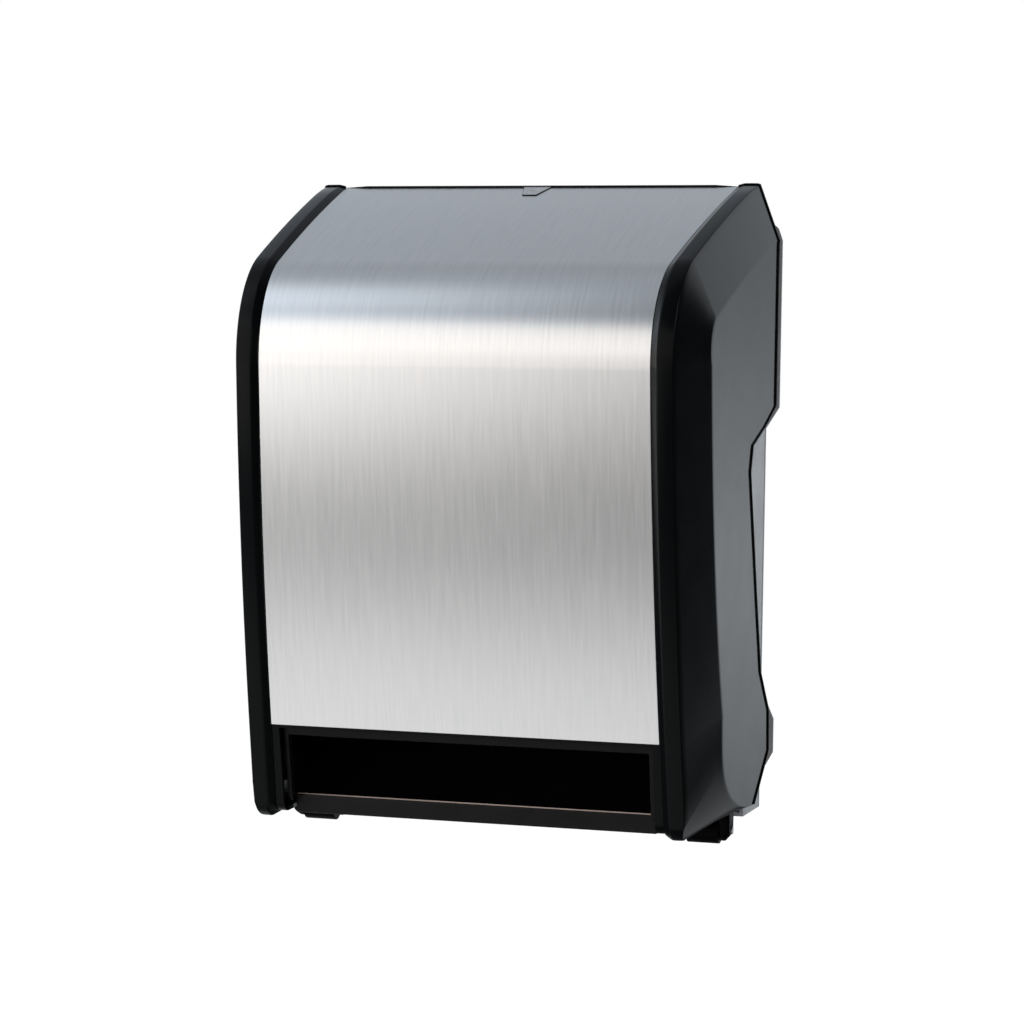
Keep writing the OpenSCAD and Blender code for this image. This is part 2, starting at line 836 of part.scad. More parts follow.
module gear(c, n, phase, bore) {
    translate([gear_x, c[0], c[1]])
        rotate([90, 0, 90])
            difference() {
                linear_extrude(gear_w)
                    polygon(gear_points(n, phase));
                translate([0, 0, -cut])
                    cylinder(h = gear_w + 2 * cut, r = bore);
            }
}
// A moulded gear whose outer face is dished between its rim and its hub, with spokes left
module dished_gear(c, n, phase, bore, hub) {
    difference() {
        gear(c, n, phase, bore);
        translate([gear_x + gear_w - gear_dish, c[0], c[1]])
            rotate([90, 0, 90])
                spoke_pockets(hub, gear_m * (n / 2 - root_share) - gear_rim, gear_dish + cut, gear_spoke, 3);
    }
}
shaft_play = 1;
module drive_shaft() {
    body_end = side_in - bush_flange_t - shaft_play;
    color("#c8cacb")
    union() {
        bar_x(-body_end, body_end, -drive_y, drive_z, shaft_r);
        bar_x(-side_out_x - shaft_play, gear_x + gear_w + shaft_play, -drive_y, drive_z, drive_neck_r);
    }
}
module drive_roller() {
    sleeve_w = 40;
    sleeve_pitch = 52;
    color("#24272a")
    for (i = [-1.5:1:1.5]) {
        x = i * sleeve_pitch;
        difference() {
            bar_x(x - sleeve_w / 2, x + sleeve_w / 2, -drive_y, drive_z, drive_r);
            bar_x(-side_in, side_in, -drive_y, drive_z, shaft_r);
        }
    }
}
module drive_gear() {
    color("#e6e2d6")
    dished_gear(drive_c, drive_teeth, idler_angle, drive_neck_r, drive_hub_r);
}
module idler_gear() {
    color("#e6e2d6")
    dished_gear(idler_c, idler_teeth, idler_phase, idler_pin_r + run_gap, idler_hub_r);
}
module idler_pin() {
    head_t = 1.7;
    head_r = 3.5;
    head_x = gear_x + gear_w + pass_gap;
    color("#a9acae")
    union() {
        bar_x(side_in, head_x + head_t, idler_c[0], idler_c[1], idler_pin_r);
        bar_x(head_x, head_x + head_t, idler_c[0], idler_c[1], head_r);
    }
}
module motor_pinion() {
    color("#c9a64e")
    union() {
        gear(pinion_c, pinion_teeth, pinion_phase, motor_shaft_r);
        bar_x(side_in - motor_boss, gear_x + gear_w, pinion_c[0], pinion_c[1], motor_shaft_r);
    }
}
module motor() {
    rear = side_in - motor_len;
    bore_in = side_in - motor_boss - pass_gap;
    flat = 11;
    tab = 3;
    tab_t = 0.6;
    tab_len = 4;
    color("#9da0a3")
    difference() {
        union() {
            bar_x(rear, side_in, pinion_c[0], pinion_c[1], motor_r);
            bar_x(side_in, side_out_x, pinion_c[0], pinion_c[1], motor_nose_r);
            bar_x(rear - motor_boss, rear, pinion_c[0], pinion_c[1], motor_nose_r);
            // Two solder tabs on the rear face
            for (s = [-1, 1])
                block(
                    [rear - tab_len, pinion_c[0] + s * flat * 0.8 - tab / 2, pinion_c[1] - tab_t / 2],
                    [rear + cut, pinion_c[0] + s * flat * 0.8 + tab / 2, pinion_c[1] + tab_t / 2]
                );
        }
        // The can's two flats
        for (s = [-1, 1])
            translate([rear - cut, pinion_c[0] - motor_r - cut, pinion_c[1] + (s > 0 ? flat : -flat - motor_r)])
                cube([motor_len + cut, 2 * (motor_r + cut), motor_r]);
        bar_x(bore_in, side_out_x + cut, pinion_c[0], pinion_c[1], motor_shaft_r + run_gap);
    }
}
module gear_cover() {
    room = 2.5;
    skin = 2;
    head_room = 6;
    lid_x = side_out_x + gear_w + head_room;
    color("#303336")
    difference() {
        side_slab(side_out_x, lid_x + skin)
            gear_outline(room + skin);
        side_slab(side_out_x - cut, lid_x)
            gear_outline(room);
    }
}
module gear_outline(grow) {
    r1 = gear_m * (drive_teeth / 2 + 1) + grow;
    r2 = gear_m * (idler_teeth / 2 + 1) + grow;
    r3 = gear_m * (pinion_teeth / 2 + 1) + grow;
    for (pair = [[drive_c, r1, idler_c, r2], [idler_c, r2, pinion_c, r3]]) {
        translate(pair[0])
            circle(r = pair[1]);
        translate(pair[2])
            circle(r = pair[3]);
        // Straight band between two circles
        let (d = pair[2] - pair[0], l = norm(d), a = atan2(d[1], d[0]), w = pair[3] * 0.9)
            translate(pair[0])
                rotate(a)
                    polygon([[0, -w], [l, -w], [l, w], [0, w]]);
    }
}

// Pinch roller in a frame that lifts off the drive roller
pinch_end = 98;
pinch_arm_t = 4;
pinch_arm_in = 108;
pinch_axle_r = 2;
pinch_bar_r = 4.6;
pinch_eye_r = 5;
pinch_bar_play = 1;
pivot_grip = 9;
module pinch_frame() {
    arm_w = 9;
    bar_end = pinch_arm_in + pinch_bar_play;
    arm_end = pinch_arm_in + pinch_arm_t;
    color("#4a4d50")
    difference() {
        union() {
            both_x()
                side_slab(pinch_arm_in, pinch_arm_in + pinch_arm_t)
                    union() {
                        translate(pinch_c)
                            circle(r = pinch_eye_r);
                        translate(pinch_pivot)
                            circle(r = pinch_eye_r);
                        translate(pinch_c)
                            rotate(pinch_lean)
                                translate([0, -arm_w / 2])
                                    square([pinch_reach, arm_w]);
                    }
            bar_x(-bar_end, bar_end, pinch_pivot[0], pinch_pivot[1], pinch_bar_r);
        }
        both_x()
            bar_x(pinch_arm_in - pivot_grip, side_in, pinch_pivot[0], pinch_pivot[1], pivot_r + run_gap);
        bar_x(-arm_end - cut, arm_end + cut, pinch_c[0], pinch_c[1], pinch_axle_r + run_gap);
    }
}
module pinch_pivots() {
    pin_in = pinch_arm_in - pivot_grip + pinch_bar_play;
    color("#a9acae")
    both_x()
        bar_x(pin_in, side_out_x, pinch_pivot[0], pinch_pivot[1], pivot_r);
}
module pinch_roller() {
    color("#2a2d30")
    union() {
        bar_x(-pinch_arm_in - pinch_arm_t, pinch_arm_in + pinch_arm_t, pinch_c[0], pinch_c[1], pinch_axle_r);
        bar_x(-pinch_end, pinch_end, pinch_c[0], pinch_c[1], pinch_r);
    }
}

// Roll cradle and front of the feed module
cradle_r = roll_r + 5;
cradle_t = 2.5;
cradle_rear = 76;
cradle_front = 152;
cradle_n = 10;
cradle_rib_h = 2;
cradle_rib_t = 1.6;
cradle_rib_pitch = 40;
cradle_ribs = 2;
slot_front = 146;
slot_rear = 118;
slot_half = 104;
function cradle_z(y, r) = roll_z - sqrt(r * r - (y - roll_y) * (y - roll_y));
module module_cover() {
    ys = [for (i = [0:cradle_n]) mix(cradle_rear, cradle_front, i / cradle_n)];
    skirt_low = module_high - chassis_dip;
    front_z = cradle_z(cradle_front, cradle_r);
    color("#2b2e30")
    difference() {
        union() {
            side_slab(-side_in, side_in)
                polygon(concat(
                    [for (y = ys) [-y, cradle_z(y, cradle_r)]],
                    back_order([for (y = ys) [-y, cradle_z(y, cradle_r) - cradle_t]])
                ));
            // Front wall and side skirts that stand inside the side plates
            block([-side_in, -cradle_front, skirt_low], [side_in, -cradle_front + cradle_t, front_z]);
            both_x()
                side_slab(side_in - cradle_t, side_in)
                    polygon(concat(
                        [for (y = ys) [-y, cradle_z(y, cradle_r) - cradle_t / 2]],
                        [[-cradle_front, skirt_low], [-cradle_rear, skirt_low]]
                    ));
            // Ribs that keep the roll's outer wraps off the cradle
            for (i = [-cradle_ribs:cradle_ribs])
                side_slab(i * cradle_rib_pitch - cradle_rib_t / 2, i * cradle_rib_pitch + cradle_rib_t / 2)
                    polygon(concat(
                        [for (y = ys) [-y, cradle_z(y, cradle_r - cradle_rib_h)]],
                        back_order([for (y = ys) [-y, cradle_z(y, cradle_r) - cradle_t / 2]])
                    ));
        }
        block([-slot_half, -slot_front, skirt_low], [slot_half, -slot_rear, 0]);
        // Window behind the control panel
        block(
            [panel_x0 + window_edge, -cradle_front - cut, ctrl_low + window_edge],
            [panel_x1 - window_edge, -cradle_front + cradle_t + cut, ctrl_high - window_edge]
        );
    }
}

// Control panel on the module's front, behind the closed cover
panel_x0 = -100;
panel_x1 = 100;
ctrl_low = -80;
ctrl_high = -48;
ctrl_t = 2;
window_edge = 5;
ctrl_y = cradle_front;
ctrl_mid = (ctrl_low + ctrl_high) / 2;
button_x = 70;
button_r = 7;
switch_w = 9;
switch_h = 5;
length_x = 25;
delay_x = -20;
power_x = -68;
rocker_w = 14;
rocker_h = 9;
rocker_t = 4;
rocker_pin_r = 0.6;
rocker_pin = 1.2;
slide_travel = 4;
module panel_window(x, half_w, half_h) {
    block(
        [x - half_w - pass_gap, -ctrl_y - ctrl_t - cut, ctrl_mid - half_h - pass_gap],
        [x + half_w + pass_gap, -ctrl_y + cut, ctrl_mid + half_h + pass_gap]
    );
}
module control_panel() {
    color("#3d4144")
    difference() {
        block([panel_x0, -ctrl_y - ctrl_t, ctrl_low], [panel_x1, -ctrl_y, ctrl_high]);
        translate([button_x, -ctrl_y + cut, ctrl_mid])
            rotate([90, 0, 0])
                cylinder(h = ctrl_t + 2 * cut, r = button_r + pass_gap);
        for (x = [length_x, delay_x])
            panel_window(x, switch_w / 2 + slide_travel, switch_h / 2);
        panel_window(power_x, rocker_w / 2, rocker_h / 2);
        rocker_pivot(rocker_pin + pass_gap, rocker_pin_r + run_gap);
    }
}
// Upright round bar through the rocker's middle, reaching past its ends
module rocker_pivot(reach, r) {
    translate([power_x, -ctrl_y - ctrl_t / 2, ctrl_mid - rocker_h / 2 - reach])
        cylinder(h = rocker_h + 2 * reach, r = r);
}
button_travel = 1.2;
button_proud = 1.6;
module feed_button() {
    skirt = 1.6;
    skirt_t = 0.8;
    skirt_gap = 0.2;
    color("#4f9a5b")
    translate([button_x, -ctrl_y + skirt_gap + skirt_t, ctrl_mid])
        rotate([90, 0, 0])
            union() {
                cylinder(h = skirt_t, r = button_r + skirt);
                cylinder(h = skirt_t + skirt_gap + ctrl_t + button_travel + button_proud, r = button_r);
            }
}
knob_proud = 2;
module slide_knob(x) {
    color("#d9dadb")
    block(
        [x - switch_w / 2, -ctrl_y - ctrl_t - knob_proud, ctrl_mid - switch_h / 2],
        [x + switch_w / 2, -ctrl_y - pass_gap, ctrl_mid + switch_h / 2]
    );
}
module length_switch() { slide_knob(length_x); }
module delay_switch() { slide_knob(delay_x); }
module power_switch() {
    color("#c0392b")
    union() {
        block(
            [power_x - rocker_w / 2, -ctrl_y - ctrl_t / 2 - rocker_t / 2, ctrl_mid - rocker_h / 2],
            [power_x + rocker_w / 2, -ctrl_y - ctrl_t / 2 + rocker_t / 2, ctrl_mid + rocker_h / 2]
        );
        rocker_pivot(rocker_pin, rocker_pin_r);
    }
}

// Recess under the steel, where the towel end hangs. Its frame follows the cheeks' outline.
recess_half = side_in + side_t;
recess_wall = 1.6;
recess_t = 2;
recess_rear = 118;
recess_top = -150;
bezel_set = 7;
bezel_d = 6;
bezel_lap = 0.2;
bezel_half = recess_half + bezel_lap;
bezel_side_w = 3.2;
bezel_top_w = 4.6;
blade_y = 143;
blade_t = 1;
shelf_h = 12;
back_bulge = 4;
bulge_z = -178;
function cheek_band(d) = [for (i = [panel_end:ring_n - 2]) off_yz(cheek_line[i], -d)];
// Point at height z on the straight front of the cheeks, set back by d
function front_point(d, z) =
    let (p = off_yz(panel_low, -d))
    [p[0] - (p[1] - z) / sin(front_end) * cos(front_end), z];
bezel_deep = bezel_set + bezel_d;
bezel_corner = front_point(bezel_deep, cover_low + bezel_deep);
shelf_inset = 11;
shelf_half = recess_half - shelf_inset;
module recess_liner() {
    top = recess_top + recess_t;
    back_y = recess_rear + recess_t;
    color("#0c0d0e")
    union() {
        difference() {
            side_slab(-recess_half, recess_half)
                polygon([
                    front_point(bezel_deep, top), bezel_corner,
                    [-recess_rear, module_low], [-recess_rear, top]
                ]);
            side_slab(-recess_half + recess_wall, recess_half - recess_wall)
                polygon([
                    [-cover_d, recess_top], [-blade_y, recess_top], [-blade_y, top + cut],
                    [-back_y, top + cut], [-back_y, recess_top], [-back_y - back_bulge, bulge_z],
                    [-back_y, module_low - cut], [-cover_d, module_low - cut]
                ]);
        }
        block(
            [-shelf_half, -blade_y - recess_t, recess_top + recess_t / 2],
            [shelf_half, -blade_y, recess_top + shelf_h]
        );
    }
}
module chute_bezel() {
    color("#2e3133")
    difference() {
        side_slab(-bezel_half, bezel_half)
            polygon(concat(cheek_band(bezel_set), [bezel_corner, off_yz(panel_low, -bezel_deep)]));
        block(
            [-bezel_half + bezel_side_w, -cover_d, cover_low - cut],
            [bezel_half - bezel_side_w, 0, recess_top - bezel_top_w + recess_t]
        );
    }
}
lip_half = recess_half - recess_wall;
lip_y = 153;
lip_h = 10.5;
lip_d = 7;
lip_edge = 1;
module lower_lip() {
    low = cover_low - lip_edge;
    high = low + lip_h;
    color("#2a2c2e")
    side_slab(-lip_half, lip_half)
        polygon([
            [-lip_y, low], [-lip_y - lip_edge, high - lip_edge], [-lip_y + lip_edge, high],
            [-lip_y + lip_d, high - 2 * lip_edge], [-lip_y + lip_d + 2 * lip_edge, low + lip_edge],
            [-lip_y + lip_d, low]
        ]);
}
tooth_pitch = 4;
tooth_h = 2.5;
module tear_bar() {
    teeth = floor(2 * slot_half / tooth_pitch);
    half = teeth * tooth_pitch / 2;
    color("#d4d6d7")
    translate([0, -blade_y + blade_t, recess_top + recess_t])
        rotate([90, 0, 0])
            linear_extrude(blade_t)
                polygon(concat(
                    [[-half, shelf_h], [half, shelf_h], [half, 0]],
                    [for (i = [0:teeth - 1]) each [
                        [half - (i + 0.5) * tooth_pitch, -tooth_h], [half - (i + 1) * tooth_pitch, 0]
                    ]]
                ));
}
module paper_guide() {
    low = recess_top + recess_t;
    rise = 4.5;
    lean = 3;
    color("#43474a")
    side_slab(-side_in + pass_gap, side_in - pass_gap)
        polygon([
            [-recess_rear - recess_t, low], [-recess_rear, low],
            [-recess_rear + lean, low + rise], [-recess_rear + lean - recess_t, low + rise]
        ]);
}

// Circuit boards: the towel and hand sensor over the recess, the controls behind their panel
board_t = 1.6;
sensor_y = 153;
chip_t = 1.3;
sink = 0.2;
module sensor_board() {
    half_w = 20;
    half_d = 7;
    low = recess_top + recess_t;
    chip_w = 6;
    eye_r = 1.5;
    eye_h = 3;
    eye_pitch = 9;
    color("#2c6e49")
    union() {
        block([-half_w, -sensor_y - half_d, low], [half_w, -sensor_y + half_d, low + board_t]);
        // Amplifier chip, and the cans of the emitter and its two receivers
        block(
            [-chip_w / 2, -sensor_y + eye_r, low + board_t - sink],
            [chip_w / 2, -sensor_y + eye_r + chip_w * 0.7, low + board_t + chip_t]
        );
        for (i = [-1:1])
            translate([i * eye_pitch, -sensor_y - half_d / 2, low + board_t - sink])
                cylinder(h = eye_h, r = eye_r);
    }
}
module sensor_window() {
    half_w = 12;
    half_d = 4.5;
    window_t = 0.8;
    color("#17110f")
    block([-half_w, -sensor_y - half_d, recess_top - window_t], [half_w, -sensor_y + half_d, recess_top]);
}
module control_board() {
    front = cradle_front - cradle_t;
    rear = -front + board_t - sink;
    chip_w = 14;
    chip_h = 8;
    chip_z = ctrl_low + 4;
    can_r = 2.5;
    can_len = 7;
    can_pitch = 7;
    plug_w = 10;
    plug_d = 5;
    color("#2c6e49")
    union() {
        block([panel_x0, -front, ctrl_low], [panel_x1, -front + board_t, ctrl_high]);
        // Processor and motor driver
        for (x = [-chip_w, chip_w * 1.5])
            block([x - chip_w / 2, rear, chip_z], [x + chip_w / 2, rear + chip_t, chip_z + chip_h]);
        // Supply capacitors that lie along the board, and the sockets of the leads
        for (i = [0:2])
            bar_x(
                delay_x * 2 - can_len, delay_x * 2, rear + can_r - sink,
                ctrl_low + can_r + sink + i * can_pitch * 0.8, can_r
            );
        for (x = [panel_x0 + plug_w, panel_x1 - plug_w])
            block([x - plug_w / 2, rear, ctrl_low + sink], [x + plug_w / 2, rear + plug_d, chip_z + chip_h / 2]);
    }
}

// Battery case behind the recess, four cells in two rows
case_t = 2;
case_gap = 0.5;
case_half = cell_len + case_gap + case_t;
case_rear = seat_y + back_seat_t;
case_front = case_rear + 2 * cell_r + 2 * case_t + 2 * case_gap;
case_low = module_low + back_seat_t;
case_high = case_low + case_t + 4 * cell_r + 3 * case_gap;
module battery_case() {
    color("#3a3d40")
    difference() {
        block([-case_half, -case_front, case_low], [case_half, -case_rear, case_high]);
        block(
            [-case_half + case_t, -case_front + case_t, case_low + case_t],
            [case_half - case_t, -case_rear - case_t, case_high + cut]
        );
    }
    door_lugs();
}
door_t = 2.5;
door_pin_r = 0.9;
lug_x = 52;
lug_t = 3;
lug_front = 1.6;
lug_over = 1.8;
door_set = 2.4;
door_y = case_rear + door_set;
door_z = case_high + pass_gap + door_t / 2;
module door_lugs() {
    both_x()
        difference() {
            block([lug_x, -door_y - lug_front, case_high], [lug_x + lug_t, -case_rear, door_z + lug_over]);
            bar_x(lug_x - cut, lug_x + lug_t + cut, -door_y, door_z, door_pin_r + run_gap);
        }
}
cell_y = (case_front + case_rear) / 2;
function cell_z(row) = case_low + case_t + cell_r + row * (2 * cell_r + case_gap);
module batteries() {
    nub_r = 4;
    nub_h = 1.5;
    cell_gap = 0.2;
    body_len = cell_len - nub_h;
    color("#c48a2c")
    for (row = [0, 1], side = [-1, 0]) {
        x = side * cell_len;
        bar_x(x + cell_gap, x + body_len, -cell_y, cell_z(row), cell_r);
        bar_x(x + body_len, x + cell_len, -cell_y, cell_z(row), nub_r);
    }
}
module battery_contacts() {
    plate = 9;
    thick = 0.4;
    color("#d4d6d7")
    both_x()
        for (row = [0, 1])
            block(
                [case_half - case_t - thick, -cell_y - plate / 2, cell_z(row) - plate / 2],
                [case_half - case_t, -cell_y + plate / 2, cell_z(row) + plate / 2]
            );
}
module battery_door() {
    lift = case_high + pass_gap;
    slot_reach = norm([lug_front, lug_over]) + pass_gap;
    color("#4a4d50")
    difference() {
        union() {
            block([-case_half, -case_front, lift], [case_half, -door_y, lift + door_t]);
            bar_x(-case_half, case_half, -door_y, door_z, door_t / 2);
        }
        both_x()
            block(
                [lug_x - pass_gap, -door_y - slot_reach, lift - cut],
                [lug_x + lug_t + pass_gap, 0, lift + door_t + cut]
            );
    }
    bar_x(-lug_x - lug_t - cut, lug_x + lug_t + cut, -door_y, door_z, door_pin_r);
}

knuckle_fit = 0.02;
knuckle_core = 5;
module knuckle() {
    tail_y = 23;
    tail_t = 2;
    heel_y = 53;
    heel_lift = 0.8;
    x_end = knuckle_in + knuckle_w;
    color("#141617")
    difference() {
        union() {
            bar_x(knuckle_in, x_end, -hinge_y, -hinge_z, knuckle_r);
            side_slab(knuckle_in, x_end)
                polygon([
                    [-hinge_y - knuckle_core, -hinge_z + knuckle_core],
                    [-hinge_y - knuckle_core / 2, base_low],
                    [-tail_y, base_low], [-tail_y, base_low - tail_t],
                    [-heel_y, -hinge_z - knuckle_r + heel_lift],
                    [-hinge_y - knuckle_core, -hinge_z - knuckle_core]
                ]);
        }
        bar_x(knuckle_in - cut, x_end + cut, -hinge_y, -hinge_z, hinge_pin_r + knuckle_fit);
    }
}
module hinge_knuckle_right() { knuckle(); }
module hinge_knuckle_left() { mirror([1, 0, 0]) knuckle(); }
module hinge_pins() {
    head_r = 4;
    head_t = 1.5;
    tip = 1;
    color("#a9acae")
    both_x() {
        bar_x(knuckle_in - head_t, knuckle_in, -hinge_y, -hinge_z, head_r);
        bar_x(knuckle_in - head_t, ear_in + ear_t + tip, -hinge_y, -hinge_z, hinge_pin_r);
    }
}

rear_housing();
module_chassis();
module_cover();
control_panel();
gear_cover();
recess_liner();
chute_bezel();
lower_lip();
tear_bar();
paper_guide();
sensor_board();
sensor_window();
control_board();
battery_case();
batteries();
battery_contacts();
motor();
shaft_bushes();
idler_pin();
hinge_knuckle_left();
hinge_knuckle_right();
hinge_pins();
strike_plate();
arm_pins();
arm_springs();
module_screws();
pinch_pivots();
cover_shell();
steel_panel();
lock_housing();
lock_plug();
lock_cam();
roll_arm_left();
roll_arm_right();
roll_hub_left();
roll_hub_right();
drive_shaft();
drive_roller();
drive_gear();
idler_gear();
motor_pinion();
pinch_frame();
pinch_roller();
battery_door();
feed_button();
length_switch();
delay_switch();
power_switch();
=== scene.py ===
# %% [markdown]
# # A touchless roll towel dispenser
# The real object hangs on a washroom wall: a dark moulded base, and a black cover with a brushed
# stainless sheet on its front that tips forward on two lugs. The working parts already exist as a
# frame of solids with joints. This lesson dresses them: it models the outside again with fine
# curves, softens the edges of what is inside, and gives every surface a procedural finish.

# %% Load the frame and measure it
import json
import math

import bmesh
import bpy
from mathutils import Matrix, Vector


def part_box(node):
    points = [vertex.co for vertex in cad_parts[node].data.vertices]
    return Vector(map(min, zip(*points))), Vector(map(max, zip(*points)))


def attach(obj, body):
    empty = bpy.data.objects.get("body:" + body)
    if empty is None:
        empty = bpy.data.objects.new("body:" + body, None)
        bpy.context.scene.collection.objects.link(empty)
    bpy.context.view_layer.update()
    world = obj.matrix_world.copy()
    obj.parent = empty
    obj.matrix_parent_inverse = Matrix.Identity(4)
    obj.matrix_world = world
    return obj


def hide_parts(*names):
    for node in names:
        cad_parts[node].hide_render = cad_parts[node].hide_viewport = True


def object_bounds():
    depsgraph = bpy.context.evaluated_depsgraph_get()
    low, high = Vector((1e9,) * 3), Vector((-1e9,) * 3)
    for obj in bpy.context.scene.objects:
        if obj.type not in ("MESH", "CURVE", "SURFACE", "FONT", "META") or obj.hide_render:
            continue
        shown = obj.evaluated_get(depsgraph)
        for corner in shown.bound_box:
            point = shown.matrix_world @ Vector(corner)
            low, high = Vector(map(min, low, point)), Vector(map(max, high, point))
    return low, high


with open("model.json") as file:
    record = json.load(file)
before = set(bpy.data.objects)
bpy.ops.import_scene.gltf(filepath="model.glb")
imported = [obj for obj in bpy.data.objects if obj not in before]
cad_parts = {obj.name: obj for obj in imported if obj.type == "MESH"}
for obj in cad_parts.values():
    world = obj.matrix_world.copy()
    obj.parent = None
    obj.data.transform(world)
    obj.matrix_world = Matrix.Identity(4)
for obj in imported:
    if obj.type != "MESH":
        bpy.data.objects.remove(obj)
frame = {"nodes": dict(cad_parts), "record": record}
frame_low, frame_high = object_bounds()
MM = 0.001
nodes = frame["nodes"]
bodies_of = {n: b for b, members in frame["record"]["behaviour"]["bodies"].items() for n in members}
slot_of = {p["node"]: p["material_slot"] for p in frame["record"]["subparts"]}
print("solids:", len(nodes), "size in mm:", [round(v / MM, 1) for v in frame_high - frame_low])

# %% [markdown]
# ## The camera
# The photograph was taken from a little to the right and slightly above, with a long lens, so the
# dispenser's verticals stay nearly parallel. The camera is placed by the angle it looks along and the
# distance to a point inside the object, which is easier to read than three rotations.

# %% Place the camera
CAMERA_AZIMUTH = math.radians(15.500)
CAMERA_ELEVATION = math.radians(3.428)
CAMERA_ROLL = math.radians(0.776)
CAMERA_DISTANCE = 1.7459
CAMERA_TARGET = Vector((0.00817, -0.100, -0.01021))
CAMERA_LENS = 94.402
SENSOR_WIDTH = 36.0


def camera_axes(azimuth, elevation, roll):
    """Right, up and backward directions of a camera that looks at the object."""
    back = Vector((
        math.sin(azimuth) * math.cos(elevation),
        -math.cos(azimuth) * math.cos(elevation),
        math.sin(elevation),
    ))
    right = Vector((math.cos(azimuth), math.sin(azimuth), 0.0))
    up = back.cross(right)
    turn = Matrix.Rotation(roll, 3, back)
    return turn @ right, turn @ up, back


def make_camera():
    right, up, back = camera_axes(CAMERA_AZIMUTH, CAMERA_ELEVATION, CAMERA_ROLL)
    lens = bpy.data.cameras.new("photo_camera")
    lens.lens = CAMERA_LENS
    lens.sensor_width = SENSOR_WIDTH
    lens.clip_start = 0.05
    lens.clip_end = 50.0
    camera = bpy.data.objects.new("photo_camera", lens)
    bpy.context.scene.collection.objects.link(camera)
    camera.matrix_world = Matrix((right, up, back)).transposed().to_4x4()
    camera.location = CAMERA_TARGET + back * CAMERA_DISTANCE
    bpy.context.scene.camera = camera
    return camera


camera = make_camera()
print("camera at", [round(v, 3) for v in camera.location])

# %% [markdown]
# Colours are shown as they are written, so the view transform is the plain Standard one.

# %% Plain colours
bpy.context.scene.view_settings.view_transform = "Standard"

# %% [markdown]
# ## Helpers for shader trees
# Every finish below is a small tree of nodes. These helpers add one node each, so that a finish reads
# as a list of what it is made of: a pattern, a ramp that shapes it, and the socket it drives.

# %% Helpers for shader trees
def ramp(tree, source, stops):
    """A colour ramp over source; each stop is (place, grey level) or (place, (r, g, b))."""
    node = tree.nodes.new("ShaderNodeValToRGB")
    elements = node.color_ramp.elements
    while len(elements) < len(stops):
        elements.new(0.5)
    for element, (place, level) in zip(elements, stops):
        element.position = place
        element.color = (level, level, level, 1.0) if isinstance(level, float) else (*level, 1.0)
    tree.links.new(source, node.inputs["Fac"])
    return node.outputs["Color"]


def calculate(tree, operation, *values):
    """A Math node; each value is a number or another node's output."""
    node = tree.nodes.new("ShaderNodeMath")
    node.operation = operation
    for socket, value in zip(node.inputs, values):
        if isinstance(value, (int, float)):
            socket.default_value = value
        else:
            tree.links.new(value, socket)
    return node.outputs[0]


def noise(tree, scale, detail=2.0, stretch=(1.0, 1.0, 1.0), roughness=0.5):
    """Noise on the piece's own Object coordinates, drawn out along an axis by a small stretch."""
    place = tree.nodes.new("ShaderNodeTexCoord")
    mapping = tree.nodes.new("ShaderNodeMapping")
    mapping.inputs["Scale"].default_value = stretch
    pattern = tree.nodes.new("ShaderNodeTexNoise")
    pattern.inputs["Scale"].default_value = scale
    pattern.inputs["Detail"].default_value = detail
    pattern.inputs["Roughness"].default_value = roughness
    tree.links.new(place.outputs["Object"], mapping.inputs["Vector"])
    tree.links.new(mapping.outputs["Vector"], pattern.inputs["Vector"])
    return pattern.outputs["Fac"]


def bump(tree, height, strength, distance):
    """A Bump node's normal for a height pattern; distance is the pattern's depth in metres."""
    node = tree.nodes.new("ShaderNodeBump")
    node.inputs["Strength"].default_value = strength
    node.inputs["Distance"].default_value = distance
    tree.links.new(height, node.inputs["Height"])
    return node.outputs["Normal"]


# %% [markdown]
# ## The studio
# The object hangs in front of white. Brushed metal and glossy plastic only look right when they have
# something to reflect, so the surroundings are long soft boxes that run from left to right: bright in
# front, dimmer overhead, white straight behind, and dark out at the two sides. Their brightness is read
# from the angle round the X axis, which is also the angle that the bent sheet sweeps, and the boxes that
# the sheet mirrors are brighter on their left. The camera itself sees plain white.

# %% Surroundings
WHITE = (1.0, 1.0, 1.0, 1.0)
# Places are shares of a turn round X: 0 is straight down, 0.25 in front, 0.5 overhead, 0.75 behind
BAND_LEVELS = (
    (0.000, 0.50), (0.080, 0.60), (0.140, 1.15), (0.170, 1.26), (0.181, 0.84), (0.190, 0.30),
    (0.203, 0.18), (0.213, 0.88), (0.225, 1.50), (0.250, 1.24), (0.280, 1.55), (0.335, 1.42),
    (0.352, 1.24), (0.375, 0.56), (0.400, 0.36), (0.440, 0.60), (0.470, 0.74), (0.500, 0.61),
    (0.530, 0.51), (0.580, 0.45), (0.620, 0.48), (0.660, 0.50), (0.700, 0.70), (0.720, 0.85),
    (0.745, 0.68), (0.764, 1.36), (0.785, 0.56), (0.800, 0.55), (0.850, 0.40), (0.930, 0.80),
    (1.000, 0.50),
)
# Colour of the boxes round the same turn: warm in front, cool overhead
BAND_TINTS = (
    (0.00, (1.00, 1.00, 1.00)), (0.20, (1.00, 1.00, 1.00)), (0.24, (1.04, 1.00, 0.97)),
    (0.34, (1.03, 1.00, 0.97)), (0.39, (0.91, 1.00, 1.11)), (0.66, (0.92, 1.00, 1.10)),
    (0.72, (0.94, 1.00, 1.05)), (0.80, (0.94, 1.00, 1.05)), (1.00, (1.00, 1.00, 1.00)),
)
